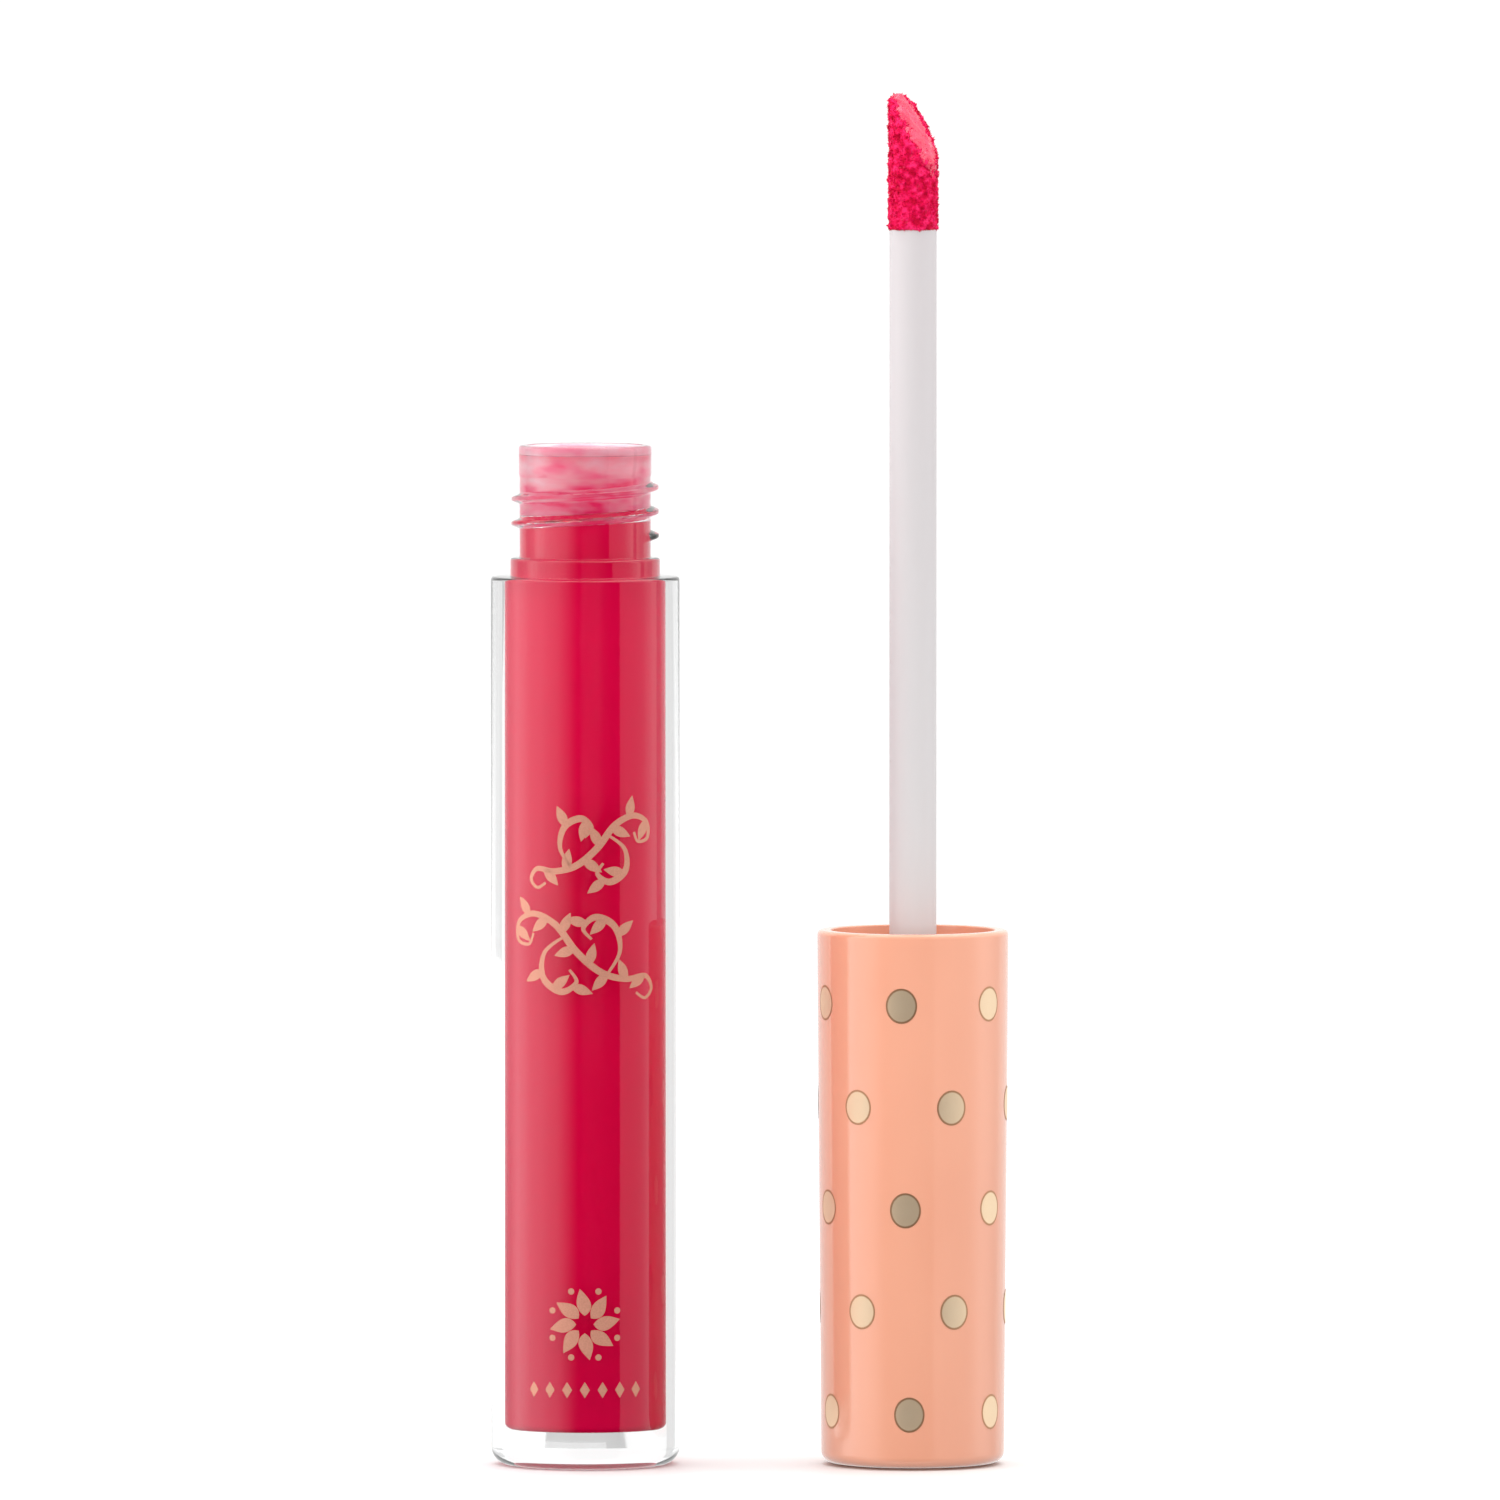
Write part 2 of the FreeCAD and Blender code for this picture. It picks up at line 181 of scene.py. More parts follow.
def add_noise(tree, size, detail=3.0, roughness=0.55, stretch=(1, 1, 1)):
    """Noise whose features are about size metres across; gives its value output."""
    place = tree.nodes.new("ShaderNodeTexCoord")
    scale = tree.nodes.new("ShaderNodeMapping")
    scale.inputs["Scale"].default_value = stretch
    texture = tree.nodes.new("ShaderNodeTexNoise")
    texture.inputs["Scale"].default_value = 1 / size
    texture.inputs["Detail"].default_value = detail
    texture.inputs["Roughness"].default_value = roughness
    tree.links.new(place.outputs["Object"], scale.inputs["Vector"])
    tree.links.new(scale.outputs["Vector"], texture.inputs["Vector"])
    return texture.outputs["Fac"]


def add_bump(tree, shader, value, height, strength):
    """Bump of height metres from a 0 to 1 value."""
    bump = tree.nodes.new("ShaderNodeBump")
    bump.inputs["Strength"].default_value = strength
    bump.inputs["Distance"].default_value = height
    tree.links.new(value, bump.inputs["Height"])
    tree.links.new(bump.outputs["Normal"], shader.inputs["Normal"])


def add_roughness(tree, shader, value, low, high):
    """Let a 0 to 1 value drive the roughness between low and high."""
    spread = tree.nodes.new("ShaderNodeMapRange")
    spread.inputs["To Min"].default_value = low
    spread.inputs["To Max"].default_value = high
    tree.links.new(value, spread.inputs["Value"])
    tree.links.new(spread.outputs["Result"], shader.inputs["Roughness"])


def colour_ramp(tree, value, stops):
    """Let a value pick a colour; stops are (place, colour)."""
    ramp = tree.nodes.new("ShaderNodeValToRGB")
    elements = ramp.color_ramp.elements
    while len(elements) < len(stops):
        elements.new(1.0)
    for element, (place, colour) in zip(elements, stops):
        element.position = place
        element.color = (*colour, 1)
    tree.links.new(value, ramp.inputs["Fac"])
    return ramp.outputs["Color"]


def add_ramp(tree, shader, value, stops):
    """Let a value pick the shader's colour."""
    tree.links.new(colour_ramp(tree, value, stops), shader.inputs["Base Color"])


def dress(piece, material, body, slot, *nodes):
    """Give a piece its finish, the body that it rides on and the nodes it stands for."""
    piece.data.materials.clear()
    piece.data.materials.append(material)
    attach(piece, body)
    if nodes:
        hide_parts(*nodes)
    print(f"{piece.name}: {len(piece.data.polygons)} faces, rides on {body}")


# %% Node helpers
def node(tree, kind, *wires, **settings):
    """Add a node; wires are (input, value or output) and settings are its own fields."""
    made = tree.nodes.new(kind)
    for field, value in settings.items():
        setattr(made, field, value)
    for socket, value in wires:
        target = made.inputs[socket]
        if isinstance(value, bpy.types.NodeSocket):
            tree.links.new(value, target)
        else:
            target.default_value = value
    return made


def calc(tree, operation, first, second=0.0):
    """One Math node; gives its output."""
    made = node(tree, "ShaderNodeMath", (0, first), (1, second), operation=operation)
    return made.outputs[0]


def product(tree, first, *factors):
    for factor in factors:
        first = calc(tree, "MULTIPLY", first, factor)
    return first


def sum_of(tree, first, *others):
    for other in others:
        first = calc(tree, "ADD", first, other)
    return first


def object_height(tree):
    """The height of the point that is shaded."""
    place = tree.nodes.new("ShaderNodeTexCoord").outputs["Object"]
    return node(tree, "ShaderNodeSeparateXYZ", (0, place)).outputs["Z"]


def point_xyz(tree):
    """X, Y and Z of each point of a mesh."""
    position = tree.nodes.new("GeometryNodeInputPosition").outputs[0]
    return node(tree, "ShaderNodeSeparateXYZ", (0, position)).outputs


def flat_place(tree, x, z):
    """A place in the XZ plane."""
    return node(tree, "ShaderNodeCombineXYZ", ("X", x), ("Z", z)).outputs[0]


# %% [markdown]
# ## The clear bottle
#
# The bottle is injection-moulded in clear copolyester. It is drawn as one closed wall,
# outside and bore together, because light has to bend once on the way in and once on
# the way out. The screw thread is not a separate strip laid on the neck: the neck's own
# rings are closely spaced there and are pushed out where the helix passes, so the clear
# wall stays one watertight skin with no hidden faces inside it.

# %% Screw thread as a height over the neck
THREAD_PITCH = 2.12 * MM
THREAD_DEPTH = 0.71 * MM
THREAD_CREST = 0.22 * MM
THREAD_ROOT = 1.05 * MM
THREAD_FADE_TURNS = 30 / 360
NECK_FIRST_TURN = -30 / 360
NECK_LAST_TURN = NECK_FIRST_TURN + 2.15


def smooth_step(value):
    """Ease from 0 to 1, and hold both ends."""
    value = min(1.0, max(0.0, value))
    return value * value * (3 - 2 * value)


def thread_height(angle, height, z_at_zero, first_turn, last_turn):
    """How far a right-hand thread stands off the wall at this angle and height."""
    tallest = 0.0
    for lap in range(math.floor(first_turn), math.ceil(last_turn) + 1):
        turn = angle / math.tau + lap
        to_end = min(turn - first_turn, last_turn - turn)
        if to_end <= 0:
            continue
        away = abs(height - z_at_zero - THREAD_PITCH * turn)
        flank = (THREAD_ROOT / 2 - away) / ((THREAD_ROOT - THREAD_CREST) / 2)
        stand = smooth_step(to_end / THREAD_FADE_TURNS) * smooth_step(flank)
        tallest = max(tallest, THREAD_DEPTH * stand)
    return tallest


# %% Bottle outline and mesh
BODY_TOP_Z = RIM_Z - 11.4 * MM
COLLAR_R = 6.5 * MM
COLLAR_TOP_Z = BODY_TOP_Z + 1.65 * MM
NECK_R = 5.7 * MM
LAND_R = NECK_R + 0.07 * MM
LAND_Z = RIM_Z - 2.7 * MM
FLANGE_SEAT_Z = RIM_Z - 0.8 * MM
THREAD_ZERO_Z = BODY_TOP_Z + 3.36 * MM - THREAD_PITCH * NECK_FIRST_TURN
THREAD_ROW = 0.06 * MM
NECK_FINE_FOOT_Z = BODY_TOP_Z + 2.4 * MM


def neck_rows():
    """Closely spaced rings up the threaded part of the neck."""
    count = round((LAND_Z - NECK_FINE_FOOT_Z) / THREAD_ROW)
    step = (LAND_Z - NECK_FINE_FOOT_Z) / count
    return [(NECK_R, NECK_FINE_FOOT_Z + step * index) for index in range(count)]


def with_neck_thread(angle, radius, height):
    """The neck's radius with the thread added to it."""
    if abs(radius - NECK_R) > SAME_RADIUS or height < NECK_FINE_FOOT_Z:
        return radius
    stand = thread_height(angle, height, THREAD_ZERO_Z, NECK_FIRST_TURN, NECK_LAST_TURN)
    return radius + stand


RECESS_R = 6.6 * MM
RECESS_DEPTH = 0.6 * MM
RECESS_STEPS = 12
base_recess = []
for step in range(RECESS_STEPS):
    share = step / RECESS_STEPS
    base_recess.append((RECESS_R * share, RECESS_DEPTH * (1 - share * share)))

lower_outline = base_recess + filleted([
    (RECESS_R, 0, 0),
    (BODY_R, 0, 1.5 * MM),
    (BODY_R, BODY_TOP_Z, 0.3 * MM),
    (COLLAR_R, BODY_TOP_Z, 0.12 * MM),
    (COLLAR_R, COLLAR_TOP_Z, 0.3 * MM),
    (NECK_R, COLLAR_TOP_Z, 0.12 * MM),
    (NECK_R, NECK_FINE_FOOT_Z, 0),
])
upper_outline = filleted([
    (NECK_R, LAND_Z, 0),
    (LAND_R, LAND_Z + 0.1 * MM, 0),
    (LAND_R, RIM_Z, 0.3 * MM),
    (FLANGE_R, RIM_Z, 0.08 * MM),
    (FLANGE_R, FLANGE_SEAT_Z, 0),
    (BORE_R, FLANGE_SEAT_Z, 0.08 * MM),
    (BORE_R, FLOOR_Z, 0.6 * MM),
    (0, FLOOR_Z, 0),
])
bottle = lathe(
    "clear_bottle",
    lower_outline[:-1] + neck_rows() + upper_outline,
    around=256,
    shape=with_neck_thread,
)

# %% Clear copolyester
CLEAR_IOR = 1.57
clear_plastic, tree, shader = new_material(
    "clear_copolyester",
    Base_Color=(0.983, 0.985, 0.985, 1),
    Transmission_Weight=1.0,
    IOR=CLEAR_IOR,
)
flow = add_noise(tree, 6 * MM, detail=2.0, stretch=(1, 1, 0.25))
add_roughness(tree, shader, flow, 0.0, 0.03)
add_bump(tree, shader, flow, 0.02 * MM, strength=0.05)
dress(bottle, clear_plastic, "bottle", "clear_plastic", "bottle")

# %% [markdown]
# ## The gloss in the bottle
#
# The gloss wets the wall, so there is no air between the two. The filling is drawn a
# hair larger than the bore: a ray in the wall then meets the gloss before it could
# leave the plastic, as in a real full bottle. Its index is set close to 1, because
# what counts is the small step from plastic to gloss: it only mirrors at a very flat
# angle, which gives the pale edges down both sides.

# %% Gloss filling
WETTING = 0.012 * MM
filling = lathe(
    "gloss_filling",
    filleted([
        (0, FLOOR_Z - WETTING, 0),
        (BORE_R + WETTING, FLOOR_Z - WETTING, 0.6 * MM),
        (BORE_R + WETTING, FILL_Z, 0.1 * MM),
        (0, FILL_Z - 0.2 * MM, 0),
    ]),
    around=160,
)

# %% Pigmented gloss
gloss_in_bottle, tree, shader = new_material(
    "gloss_behind_wall",
    Roughness=0.12,
    IOR=1.12,
)
swirl = add_noise(tree, 14 * MM, detail=2.0, stretch=(1, 1, 0.4))
add_ramp(tree, shader, swirl, [
    (0.30, (0.93, 0.0005, 0.070)),
    (0.70, (0.96, 0.0008, 0.084)),
])
dress(filling, gloss_in_bottle, "bottle", "gloss", "gloss_fill")

# %% [markdown]
# ## The wiper
#
# A soft plug of natural polyethylene sits in the mouth. Its lip strips the wand, so the
# gloss that is scraped off smears the inside of the plug. Through the clear neck it
# reads as a milky pink ring above the deep red gloss.

# %% Wiper
CUP_R = BORE_R - 0.7 * MM
ORIFICE_R = TIP_R + 0.05 * MM
WET_BORE_R = BORE_R + WETTING
WET_FLANGE_R = FLANGE_R + WETTING
WIPER_TOP_Z = RIM_Z - 0.06 * MM
CUP_FOOT_Z = RIM_Z - 3.2 * MM
LIP_TOP_Z = WIPER_Z + 0.6 * MM
LEAD_IN = 0.3 * MM
wiper = lathe(
    "neck_wiper",
    filleted([
        (WET_FLANGE_R, WIPER_TOP_Z, 0.12 * MM),
        (WET_FLANGE_R, FLANGE_SEAT_Z - WETTING, 0),
        (WET_BORE_R, FLANGE_SEAT_Z - WETTING, 0),
        (WET_BORE_R, WIPER_Z + LEAD_IN, 0.1 * MM),
        (WET_BORE_R - LEAD_IN, WIPER_Z, 0.1 * MM),
        (ORIFICE_R, WIPER_Z, 0.1 * MM),
        (ORIFICE_R, LIP_TOP_Z, 0.3 * MM),
        (CUP_R, CUP_FOOT_Z, 0.4 * MM),
        (CUP_R, WIPER_TOP_Z, 0.25 * MM),
    ]),
    around=128,
)

# %% Smeared polyethylene
wiper_plastic, tree, shader = new_material(
    "smeared_polyethylene",
    Roughness=0.3,
    IOR=1.12,
    Subsurface_Weight=0.7,
    Subsurface_Radius=(1.0, 0.75, 0.8),
    Subsurface_Scale=2.0 * MM,
)
smear = add_noise(tree, 3.0 * MM, detail=2.5, roughness=0.5, stretch=(0.8, 0.8, 2.2))
PALER_UPWARDS = 0.16
above = node(
    tree, "ShaderNodeMapRange", ("Value", object_height(tree)), ("From Min", WIPER_Z),
    ("From Max", RIM_Z), ("To Min", -PALER_UPWARDS), ("To Max", PALER_UPWARDS),
).outputs["Result"]
mixed = sum_of(tree, smear, above)
add_ramp(tree, shader, mixed, [
    (0.28, (0.98, 0.03, 0.18)),
    (0.44, (0.98, 0.22, 0.36)),
    (0.60, (0.97, 0.42, 0.50)),
    (0.80, (0.93, 0.62, 0.67)),
])
add_bump(tree, shader, smear, 0.05 * MM, strength=0.4)
dress(wiper, wiper_plastic, "bottle", "wiper_plastic", "wiper")

# %% [markdown]
# ## Drawing flat, then wrapping
#
# Foil and print are laid on a round surface. It is far easier to draw such a pattern
# flat, with one coordinate along the circumference and one up the height, and to roll
# it round the tube at the end. The rolling is a small node group that both patterns
# share: it turns the distance along the circumference into an angle, and gives the
# radius a taper between a lower and an upper height.

# %% Node trees for geometry
def new_tree(name, **inputs):
    """A geometry node tree with a mesh in, a mesh out and named float inputs."""
    tree = bpy.data.node_groups.new(name, "GeometryNodeTree")
    face = tree.interface
    face.new_socket("Geometry", in_out="INPUT", socket_type="NodeSocketGeometry")
    face.new_socket("Geometry", in_out="OUTPUT", socket_type="NodeSocketGeometry")
    for label, value in inputs.items():
        kind = "NodeSocketInt" if isinstance(value, int) else "NodeSocketFloat"
        socket = face.new_socket(label.replace("_", " "), in_out="INPUT", socket_type=kind)
        socket.default_value = value
    source = tree.nodes.new("NodeGroupInput")
    sink = tree.nodes.new("NodeGroupOutput")
    return tree, source.outputs, sink.inputs["Geometry"]


# %% Node group: roll a flat pattern round a tube
def wrap_group():
    """A node group: X becomes a way round the tube, Z stays the height."""
    tree, given, result = new_tree(
        "roll_round_tube", Axis_X=0.0, Unroll_Radius=0.008, Foot_Radius=0.008,
        Top_Radius=0.008, Foot_Z=0.0, Top_Z=0.05,
    )
    flat = point_xyz(tree)
    angle = calc(tree, "DIVIDE", flat["X"], given["Unroll Radius"])
    radius = node(
        tree, "ShaderNodeMapRange",
        ("Value", flat["Z"]), ("From Min", given["Foot Z"]), ("From Max", given["Top Z"]),
        ("To Min", given["Foot Radius"]), ("To Max", given["Top Radius"]),
    ).outputs["Result"]
    across = product(tree, calc(tree, "SINE", angle), radius)
    towards = product(tree, calc(tree, "COSINE", angle), radius)
    rolled = node(
        tree, "ShaderNodeCombineXYZ",
        ("X", sum_of(tree, across, given["Axis X"])),
        ("Y", product(tree, towards, -1.0)),
        ("Z", flat["Z"]),
    ).outputs[0]
    moved = node(tree, "GeometryNodeSetPosition",
                 ("Geometry", given["Geometry"]), ("Position", rolled))
    tree.links.new(moved.outputs[0], result)
    return tree


ROLL = wrap_group()


def roll(tree, geometry, **sizes):
    """Add the rolling group to a tree; sizes are its inputs."""
    made = node(tree, "GeometryNodeGroup", node_tree=ROLL)
    tree.links.new(geometry, made.inputs["Geometry"])
    for label, value in sizes.items():
        socket = made.inputs[label.replace("_", " ")]
        if isinstance(value, bpy.types.NodeSocket):
            tree.links.new(value, socket)
        else:
            socket.default_value = value
    return made.outputs[0]


def roll_straight(tree, geometry, radius):
    """Roll a flat pattern round a tube that has no taper."""
    return roll(tree, geometry, Unroll_Radius=radius, Foot_Radius=radius, Top_Radius=radius)


def finish_tree(tree, geometry, material, result):
    """End a tree with Realize Instances, smooth shading and its material."""
    real = node(tree, "GeometryNodeRealizeInstances", ("Geometry", geometry)).outputs[0]
    smooth = node(tree, "GeometryNodeSetShadeSmooth", ("Geometry", real)).outputs[0]
    done = node(tree, "GeometryNodeSetMaterial", ("Geometry", smooth), ("Material", material))
    tree.links.new(done.outputs[0], result)


def grown(name, tree, base_mesh, **inputs):
    """Run a tree on a mesh and keep the result as a plain object."""
    host = bpy.data.objects.new(name + "_host", base_mesh)
    bpy.context.scene.collection.objects.link(host)
    modifier = host.modifiers.new("grow", "NODES")
    modifier.node_group = tree
    for socket in tree.interface.items_tree:
        label = socket.name.replace(" ", "_")
        if socket.in_out == "INPUT" and label in inputs:
            modifier[socket.identifier] = inputs[label]
    host.update_tag()
    bpy.context.view_layer.update()
    graph = bpy.context.evaluated_depsgraph_get()
    mesh = bpy.data.meshes.new_from_object(host.evaluated_get(graph))
    bpy.data.objects.remove(host)
    piece = bpy.data.objects.new(name, mesh)
    bpy.context.scene.collection.objects.link(piece)
    return piece


# %% [markdown]
# ## The cap shell
#
# The cap is a glossy peach shell with a slight taper, a small rounding at its closed
# end and a thinner bright edge at its mouth. It stands on the flat in the middle of its
# gently crowned end.

# %% Cap shell
CAP_END_R = CAP_R - 0.35 * MM
CAP_CROWN = 0.22 * MM
CAP_FLAT_R = 4.5 * MM
CAP_END_WALL = 1.8 * MM
CAP_SEAT_Z = GASKET_FOOT_Z - 2.0 * MM
CAP_UPPER_BORE_R = SHELL_BORE_R - 0.4 * MM
shell = lathe(
    "peach_cap_shell",
    filleted([
        (0, 0, 0),
        (CAP_FLAT_R, 0, 2.0 * MM),
        (CAP_END_R, CAP_CROWN, 1.0 * MM),
        (CAP_R, CAP_Z, 0.42 * MM),
        (SHELL_BORE_R, CAP_Z, 0.12 * MM),
        (SHELL_BORE_R, CAP_SEAT_Z, 0.05 * MM),
        (CAP_UPPER_BORE_R, CAP_SEAT_Z, 0.05 * MM),
        (CAP_UPPER_BORE_R, CAP_END_WALL, 0.3 * MM),
        (0, CAP_END_WALL, 0),
    ], steps=8),
    axis_x=CAP_X,
    around=224,
)

# %% Glossy peach styrene
cap_plastic, tree, shader = new_material(
    "glossy_peach_styrene",
    Specular_IOR_Level=0.5,
    Coat_Weight=0.35,
    Coat_Roughness=0.04,
    Subsurface_Weight=0.06,
    Subsurface_Radius=(1.0, 0.55, 0.4),
    Subsurface_Scale=0.9 * MM,
)
cloud = add_noise(tree, 9 * MM, detail=2.0, stretch=(1, 1, 0.5))
add_ramp(tree, shader, cloud, [
    (0.30, (0.870, 0.392, 0.258)),
    (0.70, (0.900, 0.418, 0.278)),
])
skin = add_noise(tree, 0.5 * MM, detail=2.0)
add_roughness(tree, shader, skin, 0.12, 0.2)
add_bump(tree, shader, skin, 0.004 * MM, strength=0.25)
dress(shell, cap_plastic, "cap", "cap_plastic", "cap_shell")

# %% [markdown]
# ## Foil dots on the cap
#
# Gold foil dots are hot-stamped in five rings of six. Each ring is turned by half a step
# from the one above, and the whole pattern creeps round a little from ring to ring, as
# it does on a rolled label. This is a rule, so Geometry Nodes place the dots: a point's
# index gives its ring and its place in the ring. A dot is a square grid squeezed into
# an oval, so that it has enough faces to bend round the cap.

# %% Node tree: rings of dots
def dots_tree(material):
    """Rings of ovals, laid out flat and rolled round the cap."""
    tree, given, result = new_tree(
        "foil_dots", Rings=5, Dots_In_Ring=6, Ring_Gap=0.0089, Top_Ring_Z=0.04,
        First_Angle=-0.13, Creep=0.02, Dot_Width=0.0028, Dot_Height=0.0031,
        Axis_X=0.0, Foot_Radius=0.008, Top_Radius=0.0083, Top_Z=0.0465,
    )
    index = tree.nodes.new("GeometryNodeInputIndex").outputs[0]
    ring = calc(tree, "FLOOR", calc(tree, "DIVIDE", index, given["Dots In Ring"]))
    place = calc(tree, "MODULO", index, given["Dots In Ring"])
    step = calc(tree, "DIVIDE", math.tau, given["Dots In Ring"])
    half_step = product(tree, step, 0.5)
    stagger = product(tree, calc(tree, "MODULO", ring, 2.0), half_step)
    creep = product(tree, ring, given["Creep"])
    angle = sum_of(tree, product(tree, place, step), stagger, creep, given["First Angle"])
    height = calc(tree, "SUBTRACT", given["Top Ring Z"],
                  product(tree, ring, given["Ring Gap"]))
    flat = flat_place(tree, product(tree, angle, given["Top Radius"]), height)
    count = product(tree, given["Rings"], given["Dots In Ring"])
    points = node(tree, "GeometryNodePoints", ("Count", count), ("Position", flat))
    dot = oval(tree, given["Dot Width"], given["Dot Height"])
    laid = node(tree, "GeometryNodeInstanceOnPoints",
                ("Points", points.outputs[0]), ("Instance", dot))
    real = node(tree, "GeometryNodeRealizeInstances", ("Geometry", laid.outputs[0]))
    rolled = roll(
        tree, real.outputs[0], Axis_X=given["Axis X"], Unroll_Radius=given["Top Radius"],
        Foot_Radius=given["Foot Radius"], Top_Radius=given["Top Radius"],
        Foot_Z=0.0, Top_Z=given["Top Z"],
    )
    finish_tree(tree, rolled, material, result)
    return tree


def oval(tree, width, height):
    """A flat oval of quads in the XZ plane; it stores how far each point is from its middle."""
    grid = node(tree, "GeometryNodeMeshGrid", ("Size X", 2.0), ("Size Y", 2.0),
                ("Vertices X", 11), ("Vertices Y", 11)).outputs[0]
    at = point_xyz(tree)

    def squeezed(along, across):
        half_square = product(tree, across, across, 0.5)
        return product(tree, along, calc(tree, "SQRT", calc(tree, "SUBTRACT", 1.0, half_square)))

    x_round = squeezed(at["X"], at["Y"])
    y_round = squeezed(at["Y"], at["X"])
    out = node(tree, "ShaderNodeCombineXYZ", ("X", x_round), ("Y", y_round)).outputs[0]
    middle = node(tree, "ShaderNodeVectorMath", (0, out), operation="LENGTH").outputs["Value"]
    kept = node(tree, "GeometryNodeStoreNamedAttribute", ("Geometry", grid),
                ("Name", "from_middle"), ("Value", middle), domain="POINT").outputs[0]
    upright = flat_place(tree, product(tree, x_round, width, 0.5),
                         product(tree, y_round, height, 0.5))
    return node(tree, "GeometryNodeSetPosition", ("Geometry", kept),
                ("Position", upright)).outputs[0]


# %% Gold foil and the dots
gold_foil, tree, shader = new_material("gold_foil", Metallic=0.85)
# Painted shade: each dot's colour falls to a thin dark ring at its border, standing in for the
# shade along the foil's edge.
edge = node(tree, "ShaderNodeAttribute", attribute_name="from_middle")
add_ramp(tree, shader, edge.outputs["Fac"], [
    (0.00, (0.94, 0.75, 0.53)),
    (0.86, (0.94, 0.74, 0.52)),
    (0.92, (0.56, 0.31, 0.17)),
])
grain = add_noise(tree, 0.16 * MM, detail=3.0)
add_roughness(tree, shader, grain, 0.54, 0.66)
add_bump(tree, shader, grain, 0.008 * MM, strength=0.5)

FOIL_LIFT = 0.02 * MM
dots = grown(
    "foil_dots", dots_tree(gold_foil), bpy.data.meshes.new("foil_dots_seed"),
    Rings=5, Dots_In_Ring=6, Ring_Gap=8.87 * MM, Top_Ring_Z=40.33 * MM,
    First_Angle=math.radians(-7.3), Creep=math.radians(1.2),
    Dot_Width=2.75 * MM, Dot_Height=3.05 * MM,
    Axis_X=CAP_X, Foot_Radius=CAP_END_R + FOIL_LIFT, Top_Radius=CAP_R + FOIL_LIFT, Top_Z=CAP_Z,
)
dress(dots, gold_foil, "cap", "cap_plastic")

# %% [markdown]
# ## The print on the bottle
#
# The front of the bottle carries a plain ornament in peach-gold ink: two curling vines,
# one above the other, then a small rosette over a row of lozenges. A vine is a few pen
# strokes that swell in the middle and thin out into curls. The rule for the leaves is
# simple: they grow left and right in turn wherever the stroke is thick.

# %% Node tree: strokes that swell, with leaves
LEAF_FULLNESS = 0.8
LEAF_CURL = 0.35


def leaf(tree, length, width):
    """A flat almond-shaped leaf in the XZ plane, with its foot at the origin."""
    grid = node(tree, "GeometryNodeMeshGrid", ("Size X", 1.0), ("Size Y", 1.0),
                ("Vertices X", 13), ("Vertices Y", 5)).outputs[0]
    at = point_xyz(tree)
    along = sum_of(tree, at["X"], 0.5)
    bulge = calc(tree, "SINE", product(tree, calc(tree, "POWER", along, LEAF_FULLNESS), math.pi))
    across = product(tree, at["Y"], bulge, width)
    curl = product(tree, along, along, width, LEAF_CURL)
    place = flat_place(tree, product(tree, along, length), sum_of(tree, across, curl))
    return node(tree, "GeometryNodeSetPosition", ("Geometry", grid),
                ("Position", place)).outputs[0]


def about_y(tree, angle):
    """A rotation that turns the XZ plane by an angle, from X towards Z."""
    backwards = product(tree, angle, -1.0)
    return node(tree, "ShaderNodeCombineXYZ", ("Y", backwards)).outputs[0]


def join(tree, *geometries):
    """Several geometries as one, with no instances left."""
    both = tree.nodes.new("GeometryNodeJoinGeometry")
    for geometry in geometries:
        tree.links.new(geometry, both.inputs[0])
    return node(tree, "GeometryNodeRealizeInstances", ("Geometry", both.outputs[0])).outputs[0]


def vine_tree(material):
    """Edge chains become strokes with leaves, rolled round the bottle."""
    tree, given, result = new_tree(
        "swelling_vine", Leaf_Gap=0.0015, Leaf_Length=0.0018, Leaf_Width=0.0007,
        Lean=0.85, Thick_Enough=0.00017, Tube_Radius=0.0082,
    )
    thickness = node(tree, "GeometryNodeInputNamedAttribute", ("Name", "half_width"),
                     data_type="FLOAT").outputs["Attribute"]
    path = node(tree, "GeometryNodeMeshToCurve", ("Mesh", given["Geometry"])).outputs[0]
    facing = node(tree, "GeometryNodeSetCurveNormal", ("Curve", path), mode="FREE")
    facing.inputs["Normal"].default_value = (0, -1, 0)
    nib = tree.nodes.new("GeometryNodeCurvePrimitiveLine")
    nib.inputs["Start"].default_value = (0, -1, 0)
    nib.inputs["End"].default_value = (0, 1, 0)
    strokes = node(tree, "GeometryNodeCurveToMesh", ("Curve", facing.outputs[0]),
                   ("Profile Curve", nib.outputs[0]), ("Scale", thickness)).outputs[0]
    spots = node(tree, "GeometryNodeResampleCurve", ("Curve", path),
                 ("Length", given["Leaf Gap"]), mode="LENGTH").outputs[0]
    index = tree.nodes.new("GeometryNodeInputIndex").outputs[0]
    parity = calc(tree, "MODULO", index, 2.0)
    side = calc(tree, "SUBTRACT", product(tree, parity, 2.0), 1.0)
    tangent = node(tree, "ShaderNodeSeparateXYZ",
                   (0, tree.nodes.new("GeometryNodeInputTangent").outputs[0])).outputs
    heading = calc(tree, "ARCTAN2", tangent["Z"], tangent["X"])
    turn = sum_of(tree, heading, product(tree, side, given["Lean"]))
    scale = node(tree, "ShaderNodeCombineXYZ", ("X", 1.0), ("Y", 1.0), ("Z", side)).outputs[0]
    leaves = node(
        tree, "GeometryNodeInstanceOnPoints", ("Points", spots),
        ("Selection", calc(tree, "GREATER_THAN", thickness, given["Thick Enough"])),
        ("Instance", leaf(tree, given["Leaf Length"], given["Leaf Width"])),
        ("Rotation", about_y(tree, turn)), ("Scale", scale),
    ).outputs[0]
    rolled = roll_straight(tree, join(tree, strokes, leaves), given["Tube Radius"])
    finish_tree(tree, rolled, material, result)
    return tree


